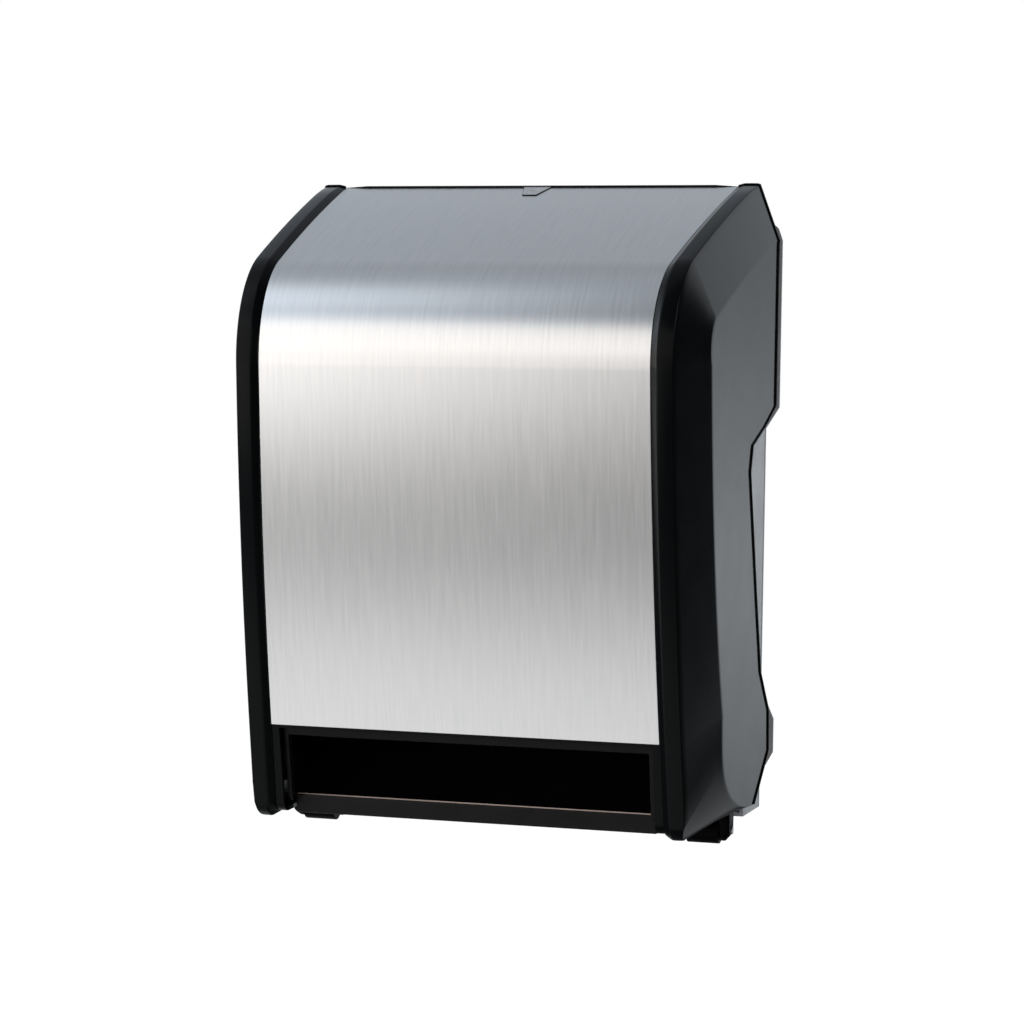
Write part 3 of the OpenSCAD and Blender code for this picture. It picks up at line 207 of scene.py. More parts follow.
# How much brighter each level grows towards the left, per unit of sideways direction
LEFTWARD_GAIN = (
    (0.000, 0.0), (0.140, 0.0), (0.170, 1.4), (0.195, 2.4), (0.213, 11.0), (0.225, 5.0), (0.250, 4.0),
    (0.280, 1.8), (0.335, 2.6), (0.360, 8.5), (0.385, 22.0), (0.425, 22.0), (0.445, 15.0), (0.470, 9.5),
    (0.500, 4.6), (0.530, 1.5), (0.600, 1.4), (0.670, 0.3), (0.700, 0.0), (1.000, 0.0),
)
# The sideways direction where the gain is 1, how far it changes on either side, and its least value
GAIN_CENTRE, GAIN_REACH, DARKEST_GAIN = -0.27, 0.13, 0.03
# Share of the brightness left over, by how far a direction points left (-1) or right (1): in front
# there is a broad light far left and a narrow strip far right, which draw bright lines along rounded
# edges, and behind there are two soft windows with darkness between and beyond them
FRONT_SIDES = (
    (-1.00, 1.50), (-0.96, 4.00), (-0.86, 5.00), (-0.78, 2.50), (-0.70, 0.90), (-0.45, 1.00),
    (0.00, 1.00), (0.35, 0.80), (0.60, 0.20), (0.80, 0.05), (0.84, 5.00), (0.92, 5.00), (0.96, 0.05),
    (1.00, 0.05),
)
REAR_SIDES = (
    (-1.00, 0.05), (-0.69, 0.05), (-0.63, 0.20), (-0.57, 0.55), (-0.50, 0.80), (-0.43, 1.40), (-0.31, 1.30),
    (-0.26, 0.35), (-0.20, 0.20), (0.20, 0.20), (0.26, 0.45), (0.30, 1.32), (0.36, 1.35), (0.43, 1.40),
    (0.50, 1.30), (0.57, 1.00), (0.62, 0.22), (0.66, 0.03), (1.00, 0.05),
)
# Where round the turn the front's sides hold
FRONT_SHARE = ((0.00, 0.0), (0.10, 0.0), (0.14, 1.0), (0.68, 1.0), (0.70, 0.0), (1.00, 0.0))


def build_world():
    world = bpy.data.worlds.new("studio_world")
    bpy.context.scene.world = world
    world.use_nodes = True
    tree = world.node_tree
    tree.nodes.clear()
    place = tree.nodes.new("ShaderNodeTexCoord")
    split = tree.nodes.new("ShaderNodeSeparateXYZ")
    tree.links.new(place.outputs["Generated"], split.inputs[0])
    forward = calculate(tree, "MULTIPLY", split.outputs["Y"], -1.0)
    angle = calculate(tree, "ARCTAN2", split.outputs["Z"], forward)
    share = calculate(tree, "FRACT", calculate(tree, "MULTIPLY_ADD", angle, 0.5 / math.pi, 0.25))
    bands = ramp(tree, share, BAND_LEVELS)
    across = calculate(tree, "MULTIPLY_ADD", split.outputs["X"], 0.5, 0.5)
    front, rear = (
        ramp(tree, across, tuple(((x + 1) / 2, level) for x, level in sides))
        for sides in (FRONT_SIDES, REAR_SIDES)
    )
    ahead = ramp(tree, share, FRONT_SHARE)
    behind = calculate(tree, "MULTIPLY", rear, calculate(tree, "SUBTRACT", 1.0, ahead))
    sides = calculate(tree, "MULTIPLY_ADD", front, ahead, behind)
    leftward = calculate(tree, "SUBTRACT", GAIN_CENTRE, split.outputs["X"])
    leftward = calculate(tree, "MINIMUM", calculate(tree, "MAXIMUM", leftward, -GAIN_REACH), GAIN_REACH)
    gain = calculate(tree, "MULTIPLY_ADD", leftward, ramp(tree, share, LEFTWARD_GAIN), 1.0)
    gain = calculate(tree, "MAXIMUM", gain, DARKEST_GAIN)
    level = calculate(tree, "MULTIPLY", calculate(tree, "MULTIPLY", bands, sides), gain)
    boxes = tree.nodes.new("ShaderNodeBackground")
    tree.links.new(ramp(tree, share, BAND_TINTS), boxes.inputs["Color"])
    tree.links.new(level, boxes.inputs["Strength"])
    white = tree.nodes.new("ShaderNodeBackground")
    white.inputs["Color"].default_value = WHITE
    path = tree.nodes.new("ShaderNodeLightPath")
    mix = tree.nodes.new("ShaderNodeMixShader")
    output = tree.nodes.new("ShaderNodeOutputWorld")
    tree.links.new(path.outputs["Is Camera Ray"], mix.inputs["Fac"])
    tree.links.new(boxes.outputs[0], mix.inputs[1])
    tree.links.new(white.outputs[0], mix.inputs[2])
    tree.links.new(mix.outputs[0], output.inputs["Surface"])
    return world


build_world()
print("soft boxes:", len(BAND_LEVELS), "levels round the X axis")

# %% [markdown]
# Two soft lamps add direction to what isn't glossy: a large one near the front left and a weaker one
# high on the right. Neither is mirrored, because the soft boxes already shape what gloss shows.

# %% Lamps
def soft_lamp(name, location, aim, size, power):
    """A square area lamp at location that points at aim."""
    light = bpy.data.lights.new(name, "AREA")
    light.shape = "SQUARE"
    light.size = size
    light.energy = power
    lamp = bpy.data.objects.new(name, light)
    bpy.context.scene.collection.objects.link(lamp)
    lamp.location = location
    lamp.rotation_euler = (Vector(aim) - Vector(location)).to_track_quat("-Z", "Y").to_euler()
    lamp.visible_glossy = False
    return lamp


soft_lamp("front_left_lamp", (-0.62, -1.05, 0.30), (-0.05, -0.20, 0.05), 0.55, 3.2)
soft_lamp("high_right_lamp", (1.10, -0.70, 1.30), (0.0, -0.12, 0.0), 0.80, 5.0)

# %% [markdown]
# ## The floor
# A wall-hung object has no floor touching it, so a plain pale floor lies well below. Most of what the
# camera sees of it is white of its own, mixed with a little that the lamps light, so a shadow stays.

# %% Floor
FLOOR_DROP = 0.42
FLOOR_SIZE = 12.0
FLOOR_COLOUR = (0.82, 0.82, 0.82, 1.0)
FLOOR_OWN_WHITE = 0.84
FLOOR_GLOW = 1.09


def build_floor():
    bpy.ops.mesh.primitive_plane_add(size=FLOOR_SIZE, location=(0.0, 0.0, frame_low.z - FLOOR_DROP))
    floor = bpy.context.object
    floor.name = "studio_floor"
    material = bpy.data.materials.new("studio_floor")
    material.use_nodes = True
    tree = material.node_tree
    tree.nodes.clear()
    pale = tree.nodes.new("ShaderNodeBsdfDiffuse")
    pale.inputs["Color"].default_value = FLOOR_COLOUR
    white = tree.nodes.new("ShaderNodeEmission")
    white.inputs["Strength"].default_value = FLOOR_GLOW
    clear = tree.nodes.new("ShaderNodeBsdfTransparent")
    path = tree.nodes.new("ShaderNodeLightPath")
    own = tree.nodes.new("ShaderNodeMixShader")
    mirrored = tree.nodes.new("ShaderNodeMixShader")
    output = tree.nodes.new("ShaderNodeOutputMaterial")
    seen = calculate(tree, "MULTIPLY", path.outputs["Is Camera Ray"], FLOOR_OWN_WHITE)
    tree.links.new(seen, own.inputs["Fac"])
    tree.links.new(pale.outputs[0], own.inputs[1])
    tree.links.new(white.outputs[0], own.inputs[2])
    tree.links.new(path.outputs["Is Glossy Ray"], mirrored.inputs["Fac"])
    tree.links.new(own.outputs[0], mirrored.inputs[1])
    tree.links.new(clear.outputs[0], mirrored.inputs[2])
    tree.links.new(mirrored.outputs[0], output.inputs["Surface"])
    floor.data.materials.append(material)
    return floor


build_floor()
print("floor at z =", round(frame_low.z - FLOOR_DROP, 3))

# %% [markdown]
# ## The finishes
# Each finish is one material, made once and kept in a dictionary by the name that the frame's record
# uses for it. Plastics share a recipe: a dark or light base, a very fine moulded texture as bump, and a
# slow variation in roughness, because no moulded face is equally glossy all over. The lip's plastic is
# nearly the same as the trim's, but the paler colour along its upper edge is a painted highlight.

# %% Plastic finishes
TRIM_COLOUR, TRIM_ROUGHNESS, TRIM_GRAIN = (0.0035, 0.0034, 0.0034), 0.30, 0.08
LIP_IOR = 1.24
MOULD_SCALE, MOULD_DEPTH = 1500.0, 0.08 * MM
# How much darker and lighter than its colour a plastic gets in broad clouds
CLOUD_TINT = 0.12
# Height over which the lip's colour changes to that of its painted highlight
HIGHLIGHT_BLEND = 0.25 * MM


def new_finish(name):
    """An empty material with a Principled shader; returns the material, its tree and the shader."""
    material = bpy.data.materials.new(name)
    material.use_nodes = True
    tree = material.node_tree
    return material, tree, tree.nodes["Principled BSDF"]


def plastic(name, colour, roughness, grain=0.25, ior=1.46, spread=0.08):
    """Moulded plastic: grain is the strength of its texture, spread the change in roughness."""
    material, tree, shader = new_finish(name)
    shader.inputs["IOR"].default_value = ior
    cloud = noise(tree, 9.0, detail=3.0)
    dark = tuple(c * (1.0 - CLOUD_TINT) for c in colour)
    light = tuple(min(1.0, c * (1.0 + CLOUD_TINT)) for c in colour)
    tree.links.new(ramp(tree, cloud, ((0.3, dark), (0.7, light))), shader.inputs["Base Color"])
    speckle = noise(tree, 40.0, detail=5.0)
    rough = ramp(tree, speckle, ((0.35, roughness - spread / 2), (0.65, roughness + spread / 2)))
    tree.links.new(rough, shader.inputs["Roughness"])
    grains = noise(tree, MOULD_SCALE, detail=1.0)
    tree.links.new(bump(tree, grains, grain, MOULD_DEPTH), shader.inputs["Normal"])
    return material


def plastic_with_painted_highlight(name, highlight_z, highlight_colour):
    """Trim plastic with a painted highlight: its colour turns paler above a given height."""
    material = plastic(name, TRIM_COLOUR, TRIM_ROUGHNESS, grain=TRIM_GRAIN, ior=LIP_IOR)
    tree = material.node_tree
    base = tree.nodes["Principled BSDF"].inputs["Base Color"]
    place = tree.nodes.new("ShaderNodeTexCoord")
    split = tree.nodes.new("ShaderNodeSeparateXYZ")
    tree.links.new(place.outputs["Object"], split.inputs[0])
    above = calculate(tree, "SUBTRACT", split.outputs["Z"], highlight_z)
    share = calculate(tree, "MULTIPLY", above, 1.0 / HIGHLIGHT_BLEND)
    share = calculate(tree, "MINIMUM", calculate(tree, "MAXIMUM", share, 0.0), 1.0)
    blend = tree.nodes.new("ShaderNodeMix")
    blend.data_type = "RGBA"
    tree.links.new(share, blend.inputs["Factor"])
    plain, edge = [socket for socket in blend.inputs if socket.type == "RGBA"]
    tree.links.new(base.links[0].from_socket, plain)
    edge.default_value = (*highlight_colour, 1.0)
    tree.links.new([socket for socket in blend.outputs if socket.type == "RGBA"][0], base)
    return material


finishes = {
    "cover_black": plastic(
        "cover_black", (0.0018, 0.0021, 0.0023), 0.15, grain=0.012, ior=1.15, spread=0.02
    ),
    "trim_black": plastic("trim_black", TRIM_COLOUR, TRIM_ROUGHNESS, grain=TRIM_GRAIN, ior=1.19),
    "hinge_black": plastic("hinge_black", (0.0008, 0.0008, 0.0009), 0.35, grain=0.08, ior=1.10),
    "housing_grey": plastic("housing_grey", (0.262, 0.266, 0.274), 0.36, grain=0.30),
    "inner_black": plastic("inner_black", (0.0055, 0.0055, 0.006), 0.55, grain=0.3, ior=1.30),
    # The recess's finish is darker than inner_black to paint the shade inside the recess.
    "recess_painted_shade_black": plastic("recess_painted_shade_black", (0.0005, 0.0005, 0.0006), 0.7, grain=0.3, ior=1.05),
    "inner_grey": plastic("inner_grey", (0.045, 0.048, 0.052), 0.42, grain=0.35),
    "circuit_green": plastic("circuit_green", (0.018, 0.12, 0.05), 0.32, grain=0.05),
    "window_dark": plastic("window_dark", (0.010, 0.004, 0.003), 0.08, grain=0.0),
    "cell_jacket": plastic("cell_jacket", (0.42, 0.20, 0.035), 0.28, grain=0.03),
    "gear_nylon": plastic("gear_nylon", (0.74, 0.71, 0.63), 0.40, grain=0.08),
    "roller_rubber": plastic("roller_rubber", (0.016, 0.016, 0.018), 0.72, grain=0.6),
    "button_green": plastic("button_green", (0.06, 0.27, 0.09), 0.36, grain=0.1),
    "switch_white": plastic("switch_white", (0.68, 0.68, 0.66), 0.36, grain=0.1),
    "button_red": plastic("button_red", (0.46, 0.03, 0.02), 0.34, grain=0.1),
}
print("plastic finishes:", len(finishes))

# %% [markdown]
# The sheet is stainless steel with an upright brushed grain. The grain is noise stretched twenty times
# along Y and Z, so it runs down the bent sheet, with some longer and wider streaks. It drives the
# roughness, the colour and a very shallow bump. Brushing also spreads a reflection sideways more than
# along the grain, which is what the shader's anisotropy does, once a tangent says how the grain lies.

# %% Metal finishes
GRAIN_SCALE, GRAIN_STRETCH, GRAIN_SHARE = 640.0, (1.0, 0.05, 0.05), 0.8
STREAK_SCALE, STREAK_STRETCH = 420.0, (1.0, 0.02, 0.02)
BRUSHING_DEPTH = 0.01 * MM


def brushed_steel():
    material, tree, shader = new_finish("brushed_steel")
    shader.inputs["Metallic"].default_value = 1.0
    shader.inputs["Anisotropic"].default_value = 0.35
    grain = noise(tree, GRAIN_SCALE, detail=2.0, stretch=GRAIN_STRETCH)
    streaks = noise(tree, STREAK_SCALE, detail=2.0, stretch=STREAK_STRETCH)
    wide = calculate(tree, "MULTIPLY", streaks, 1.0 - GRAIN_SHARE)
    tone = calculate(tree, "MULTIPLY_ADD", grain, GRAIN_SHARE, wide)
    colour = ramp(tree, tone, ((0.3, (0.595, 0.598, 0.601)), (0.7, (0.645, 0.645, 0.644))))
    tree.links.new(colour, shader.inputs["Base Color"])
    tree.links.new(ramp(tree, tone, ((0.3, 0.253), (0.7, 0.267))), shader.inputs["Roughness"])
    tree.links.new(bump(tree, grain, 0.014, BRUSHING_DEPTH), shader.inputs["Normal"])
    tangent = tree.nodes.new("ShaderNodeTangent")
    tangent.direction_type = "UV_MAP"
    tree.links.new(tangent.outputs["Tangent"], shader.inputs["Tangent"])
    return material


def plain_metal(name, colour, roughness, wear=0.08):
    """Turned or stamped metal with fine tool marks."""
    material, tree, shader = new_finish(name)
    shader.inputs["Metallic"].default_value = 1.0
    cloud = noise(tree, 120.0, detail=4.0)
    dark = tuple(c * (1.0 - wear) for c in colour)
    tree.links.new(ramp(tree, cloud, ((0.35, dark), (0.65, colour))), shader.inputs["Base Color"])
    rough = ramp(tree, cloud, ((0.3, roughness), (0.7, roughness + 0.12)))
    tree.links.new(rough, shader.inputs["Roughness"])
    marks = noise(tree, 1800.0, detail=1.0, stretch=(0.1, 1.0, 1.0))
    tree.links.new(bump(tree, marks, 0.1, 0.00002), shader.inputs["Normal"])
    return material


finishes["brushed_steel"] = brushed_steel()
finishes["bare_steel"] = plain_metal("bare_steel", (0.60, 0.60, 0.59), 0.26)
finishes["pinion_brass"] = plain_metal("pinion_brass", (0.72, 0.52, 0.24), 0.24)
print("finishes:", sorted(finishes))

# %% [markdown]
# ## The outline
# Seen from the side, the cover follows one line: a nearly flat sloping top, a bend, a nearly flat front,
# a straight drop past the recess, a small corner and the underside. The same line places the sheet and
# both cheeks, so it is written once as a function of a ring number, which counts along the line.

# %% Outline of the cover, from the side
steel_low, steel_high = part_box("steel_panel")
SHEET_THICKNESS = 0.8 * MM
DRAFT = math.radians(3.693)
TOP_HEADING, FRONT_HEADING = 16.6, 102.0
START = (
    steel_high.y - SHEET_THICKNESS * math.sin(math.radians(TOP_HEADING)),
    steel_high.z,
    TOP_HEADING,
)
CHEEK_DROP = 52.6 * MM
# Each stretch: the ring where it ends, its radius or length, and the heading that it turns to
STRETCHES = (
    (4, 1780.0 * MM, 22.0),
    (16, 66.0 * MM, 94.5),
    (21, 1765.0 * MM, FRONT_HEADING),
    (23, CHEEK_DROP, None),
    (27, 10.0 * MM, 180.0),
)
PANEL_END = 21
CORNER_END = 27
LAST_RING = 28
UNDERSIDE_END = -48.0 * MM


def along(point, size, turn_to, share):
    """The point a share of the way along an arc or, where it turns to nothing, a straight run."""
    y, z, heading = point
    if turn_to is None:
        run, slope = size * share, math.radians(heading)
        return y - math.cos(slope) * run, z - math.sin(slope) * run, heading
    turned = heading + (turn_to - heading) * share
    first, second = math.radians(heading), math.radians(turned)
    y -= size * (math.sin(second) - math.sin(first))
    z += size * (math.cos(second) - math.cos(first))
    return y, z, turned


def outline(ring):
    """(y, z, heading in degrees) of the cover's outline at a ring number, whole or not."""
    point, first = START, 0
    for last, size, turn_to in STRETCHES:
        if ring <= last:
            return along(point, size, turn_to, (ring - first) / (last - first))
        point, first = along(point, size, turn_to, 1.0), last
    share = (ring - first) / (LAST_RING - first)
    return point[0] + (UNDERSIDE_END - point[0]) * share, point[1], point[2]


FRONT_Y = steel_low.y
PANEL_HALF = steel_high.x - math.tan(DRAFT) * (steel_high.y - FRONT_Y)


def half_width(y):
    """Half the sheet's width at a place along Y; the draft widens it towards the wall."""
    return PANEL_HALF + math.tan(DRAFT) * (y - FRONT_Y)


panel_low = outline(PANEL_END)
cover_low = outline(LAST_RING)[1]
print("panel's lower edge", [round(v / MM, 2) for v in panel_low[:2]])
print("cover's underside", round(cover_low / MM, 2))

# %% [markdown]
# ## The steel sheet
# The real sheet is cut flat, with a small notch in its top edge for the lock, and bent in a press. It
# could be a lofted grid, but an edge that is spun round each arc's centre gives the same surface with
# exact radii. Two slanted bisecting cuts then trim its sides to the draft, a wall modifier gives it the
# thickness of the sheet, and a wedge cuts the notch. A narrow bevel leaves the edges bright.

# %% Spin, trim and thicken the sheet
ARC_STEPS = (10, 40, 28)
SHEET_MARGIN = 10.0 * MM
EDGE_ROUND = 0.3 * MM


def deselect():
    if bpy.context.object and bpy.context.object.mode != "OBJECT":
        bpy.ops.object.mode_set(mode="OBJECT")
    bpy.ops.object.select_all(action="DESELECT")


def edit(piece):
    """Makes a piece the only one selected and opens it in edit mode."""
    deselect()
    bpy.context.view_layer.objects.active = piece
    piece.select_set(True)
    bpy.ops.object.mode_set(mode="EDIT")


def select_vertices(piece, wanted):
    """Selects the vertices whose place passes the test, in edit mode."""
    mesh = bmesh.from_edit_mesh(piece.data)
    bpy.ops.mesh.select_all(action="DESELECT")
    for vertex in mesh.verts:
        vertex.select = wanted(vertex.co)
    mesh.select_flush(True)
    bmesh.update_edit_mesh(piece.data)


def apply_modifier(piece, name, kind, **settings):
    """Adds a modifier with its settings and applies it."""
    deselect()
    bpy.context.view_layer.objects.active = piece
    piece.select_set(True)
    modifier = piece.modifiers.new(name, kind)
    for key, value in settings.items():
        setattr(modifier, key, value)
    bpy.ops.object.modifier_apply(modifier=modifier.name)


def round_edges(piece, width, degrees, **settings):
    """Rounds the edges where two faces turn by more than an angle."""
    apply_modifier(
        piece, "rounds", "BEVEL", width=width, segments=2, limit_method="ANGLE",
        angle_limit=math.radians(degrees), **settings,
    )


def place_in_mesh(piece):
    """Leaves the object at the origin, unturned and unscaled, with its place in its mesh."""
    deselect()
    bpy.context.view_layer.objects.active = piece
    piece.select_set(True)
    bpy.ops.object.transform_apply(location=True, rotation=True, scale=True)


def smooth(piece, degrees):
    deselect()
    bpy.context.view_layer.objects.active = piece
    piece.select_set(True)
    bpy.ops.object.shade_smooth_by_angle(angle=math.radians(degrees))


def even_normals(piece):
    """Lets each large face keep its own direction, so only the narrow rounds beside it shade softly."""
    apply_modifier(piece, "even_normals", "WEIGHTED_NORMAL", keep_sharp=True)


def spin_sheet():
    half = half_width(0.0) + SHEET_MARGIN
    deselect()
    bpy.ops.mesh.primitive_plane_add(size=2 * half, location=(0.0, START[0] + half, START[1]))
    sheet = bpy.context.object
    sheet.name = "brushed_sheet"
    place_in_mesh(sheet)
    edit(sheet)
    select_vertices(sheet, lambda place: place.y > START[0] + half)
    bpy.ops.mesh.delete(type="VERT")
    bpy.ops.mesh.select_all(action="SELECT")
    point = START
    for (last, radius, turn_to), steps in zip(STRETCHES, ARC_STEPS):
        heading = math.radians(point[2])
        centre = (0.0, point[0] + radius * math.sin(heading), point[1] - radius * math.cos(heading))
        bpy.ops.mesh.spin(
            steps=steps, angle=math.radians(turn_to - point[2]), center=centre, axis=(-1.0, 0.0, 0.0)
        )
        point = along(point, radius, turn_to, 1.0)
    bpy.ops.mesh.select_all(action="SELECT")
    bpy.ops.mesh.remove_doubles(threshold=0.01 * MM)
    for side in (-1.0, 1.0):
        bpy.ops.mesh.select_all(action="SELECT")
        bpy.ops.mesh.bisect(
            plane_co=(side * PANEL_HALF, FRONT_Y, 0.0),
            plane_no=(side, -math.tan(DRAFT), 0.0),
            clear_outer=True,
        )
    bpy.ops.mesh.select_all(action="SELECT")
    bpy.ops.mesh.normals_make_consistent(inside=False)
    mesh = bmesh.from_edit_mesh(sheet.data)
    if sum(face.normal.y for face in mesh.faces) > 0.0:
        bpy.ops.mesh.flip_normals()
    bpy.ops.object.mode_set(mode="OBJECT")
    return sheet


sheet = spin_sheet()
lowest = min((v.co for v in sheet.data.vertices), key=lambda place: place.z)
print("sheet:", len(sheet.data.polygons), "faces; lower edge", [round(v / MM, 1) for v in lowest])

# %% [markdown]
# The notch is a wedge across the top edge, narrower towards the front. The cutter is a cube that is
# turned to the slope of the top, with its front face drawn in.

# %% Cut the lock's notch
LOCK_Y = -27.0 * MM
LOCK_Z = steel_high.z + (LOCK_Y - START[0]) * math.tan(math.radians(TOP_HEADING))
NOTCH_REAR, NOTCH_FRONT, NOTCH_DEPTH = 20.0 * MM, 10.0 * MM, 23.0 * MM
NOTCH_OVERRUN = 4.0 * MM


def make_wedge(inset, low, high, overrun=0.0):
    """A wedge of the notch's shape drawn in all round by inset, from low to high above the slope."""
    deselect()
    bpy.ops.mesh.primitive_cube_add(size=1.0)
    wedge = bpy.context.object
    reach = NOTCH_DEPTH + overrun - inset * (1 if overrun else 2)
    edit(wedge)
    bpy.ops.mesh.select_all(action="SELECT")
    bpy.ops.transform.resize(value=(NOTCH_REAR - 2 * inset, reach, high - low))
    select_vertices(wedge, lambda place: place.y < 0.0)
    bpy.ops.transform.resize(value=((NOTCH_FRONT - 2 * inset) / (NOTCH_REAR - 2 * inset), 1.0, 1.0))
    bpy.ops.object.mode_set(mode="OBJECT")
    slope = Matrix.Rotation(math.radians(TOP_HEADING), 4, "X")
    front = START[0] - LOCK_Y - NOTCH_DEPTH + inset
    wedge.data.transform(
        Matrix.Translation((0.0, LOCK_Y, LOCK_Z)) @ slope
        @ Matrix.Translation((0.0, front + reach / 2, (low + high) / 2))
    )
    return wedge


def cut_notch():
    wedge = make_wedge(0.0, -NOTCH_OVERRUN, NOTCH_OVERRUN, overrun=NOTCH_OVERRUN)
    apply_modifier(sheet, "notch", "BOOLEAN", operation="DIFFERENCE", object=wedge, solver="EXACT")
    bpy.data.objects.remove(wedge)


apply_modifier(sheet, "gauge", "SOLIDIFY", thickness=SHEET_THICKNESS, offset=-1.0, use_even_offset=True)
cut_notch()
round_edges(sheet, EDGE_ROUND, 60.0)
smooth(sheet, 50.0)
even_normals(sheet)
print("sheet with its notch:", len(sheet.data.polygons), "faces")

# %% [markdown]
# Anisotropy needs a tangent, and a tangent needs a UV map: U runs across the sheet and V down it.

# %% Lay the sheet's UV map
def lay_uv(piece):
    layer = piece.data.uv_layers.new(name="across_and_down")
    for loop in piece.data.loops:
        place = piece.data.vertices[loop.vertex_index].co
        layer.data[loop.index].uv = (place.x, place.z - place.y)
    return layer


def dress(piece, finish, body, *replaced):
    """Gives a piece its finish and its body, and hides the solids it stands for."""
    piece.data.materials.clear()
    piece.data.materials.append(finishes[finish])
    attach(piece, body)
    if replaced:
        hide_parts(*replaced)


lay_uv(sheet)
dress(sheet, "brushed_steel", "cover", "steel_panel")
print("sheet rides on the cover")

# %% [markdown]
# ## The cover's skin
# The cover is one moulding: a web behind the sheet, and on each side a cheek with a raised rim, a long
# bevel and a flat side face whose rear edge steps forward low down. No primitive has this shape, so its
# surface is laid as a grid: one row for each ring along the outline, and in each row the same stations
# from the middle out to the rear edge. A second layer inside it gives the wall, and walls close the rim.

# %% Stations across a cheek
WALL = 2.8 * MM
SIDE_OUT = 25.2 * MM
# The web's front and back, as depths below the sheet's outer face
WEB_TOP = SHEET_THICKNESS * 1.4
WEB_LOW = WEB_TOP + 2.6 * MM
OPENING_HALF = PANEL_HALF - SHEET_THICKNESS * 3
WEB_COLUMNS = tuple(OPENING_HALF * share for share in (0.0, 0.25, 0.5, 0.75, 0.9, 1.0))
# Rim profile in mm: how far beyond the sheet's edge and how high, outside and then inside
RIM_PROFILE = (
    ((0.12, -1.12), (0.35, -3.72)),
    ((0.22, -0.12), (0.90, -3.72)),
    ((0.90, 0.50), (1.60, -3.62)),
    ((3.90, 2.30), (4.20, -1.60)),
    ((4.60, 2.59), (5.30, -0.95)),
    ((5.40, 2.66), (5.60, -0.92)),
    ((9.50, 2.66), (9.00, -1.00)),
    ((13.20, 2.50), (11.10, -1.10)),
    ((14.10, 2.22), (11.40, -1.40)),
    ((14.50, 1.50), (11.60, -2.00)),
)
BEVEL_SHARES = (0.10, 0.40, 0.80, 0.965, 1.0)
SIDE_SHARES = (0.03, 0.25, 0.60, 0.94)
# Share of the rim's height that is left, by ring
RIM_FADE = ((0.0, 0.45), (0.5, 1.0), (27.0, 1.0), (28.0, 0.7))
# Share of its outer half that is left beyond RIM_INNER, in mm, where the lower corner is rounded
RIM_INNER = 5.6
RIM_NARROWS = (
    (0.0, 1.0), (22.5, 1.0), (23.0, 0.95), (24.0, 0.86), (25.5, 0.74), (27.0, 0.66), (28.0, 0.66),
)
# A thin bead stands out all along the cover's rear edge
BEAD_HEIGHT, BEAD_WIDTH = 1.0 * MM, 1.2 * MM
# Depth of the bevel along the top and the front, and the share that it gains towards the recess
BEVEL_TOP, BEVEL_FRONT, BEVEL_DEEPENS = 36.0 * MM, 47.0 * MM, 0.19
# Powers that shape the bevel's line below the sheet: how late it runs back and how soon it falls
BEVEL_EASE, BEVEL_FALL = 3.0, 1.5
# Rear edge of the cheeks: ring, share of the cover's depth, share of its height
REAR_SHARES = (
    (0, 0.023, 0.091), (4, 0.023, 0.184), (10, 0.023, 0.355), (12, 0.150, 0.386),
    (14, 0.300, 0.415), (16, 0.325, 0.457), (19, 0.218, 0.665), (20, 0.153, 0.783),
    (21, 0.042, 0.851), (24, 0.033, 0.917), (28, 0.205, 0.993),
)


def between(first, second, share):
    return first + (second - first) * share


def look_up(value, table):
    """Straight-line reading of a table of (place, value) pairs."""
    for (a, low), (b, high) in zip(table, table[1:]):
        if value <= b:
            return between(low, high, (value - a) / (b - a))
    return table[-1][1]


def off_outline(ring, depth):
    """(y, z) at a height above the outline, or below it where depth is negative."""
    y, z, heading = outline(ring)
    heading = math.radians(heading)
    return y - math.sin(heading) * depth, z + math.cos(heading) * depth


def bevel_line(ring):
    """(y, z) of the edge between the bevel and the flat side."""
    if ring <= PANEL_END:
        depth = BEVEL_TOP
        if ring > 4:
            depth = between(BEVEL_TOP, BEVEL_FRONT, min(1.0, (ring - 4) / 12))
        if ring > 16:
            depth = BEVEL_FRONT * (1 + BEVEL_DEEPENS * ((ring - 16) / 5) ** 3)
        return off_outline(ring, -depth)
    start = bevel_line(PANEL_END)
    share = (ring - PANEL_END) / (LAST_RING - PANEL_END)
    fallen = 1 - (1 - share) ** BEVEL_FALL
    y = between(start[0], UNDERSIDE_END, share ** BEVEL_EASE)
    return y, between(start[1], cover_low + WALL, fallen)


def rear_line(ring):
    """(y, z) of the cheek's rear edge."""
    y_share = look_up(ring, [(r[0], r[1]) for r in REAR_SHARES])
    z_share = look_up(ring, [(r[0], r[2]) for r in REAR_SHARES])
    return FRONT_Y * y_share, START[1] - (START[1] - cover_low) * z_share


def cheek_row(ring, layer):
    """Half a row of the skin, from the middle to the right rear edge; layer 1 is the inside."""
    fade, narrowed = look_up(ring, RIM_FADE), look_up(ring, RIM_NARROWS)
    web_yz = off_outline(ring, -(WEB_TOP, WEB_LOW)[layer])
    row = [Vector((x, *web_yz)) for x in WEB_COLUMNS]
    for station in RIM_PROFILE:
        x, height = station[layer]
        x = min(x, RIM_INNER) + max(0.0, x - RIM_INNER) * narrowed
        rise = height * fade if height > 0.0 else height
        y, z = off_outline(ring, rise * MM)
        row.append(Vector((half_width(y) + x * MM, y, z)))
    inset = WALL * layer
    ends = []
    for y, z in (bevel_line(ring), rear_line(ring)):
        ends.append(Vector((half_width(y) + SIDE_OUT - inset, y, z)))
    rim_edge = row[-1].copy()
    row += [rim_edge.lerp(ends[0], share) for share in BEVEL_SHARES]
    row += [ends[0].lerp(ends[1], share) for share in SIDE_SHARES]
    inward = (ends[0] - ends[1]).normalized() * BEAD_WIDTH
    out = Vector((BEAD_HEIGHT, 0.0, 0.0))
    if layer:
        row += [ends[1] + inward, ends[1] + inward / 2, ends[1]]
    else:
        row += [ends[1] + inward, ends[1] + inward + out, ends[1] + out]
    return row


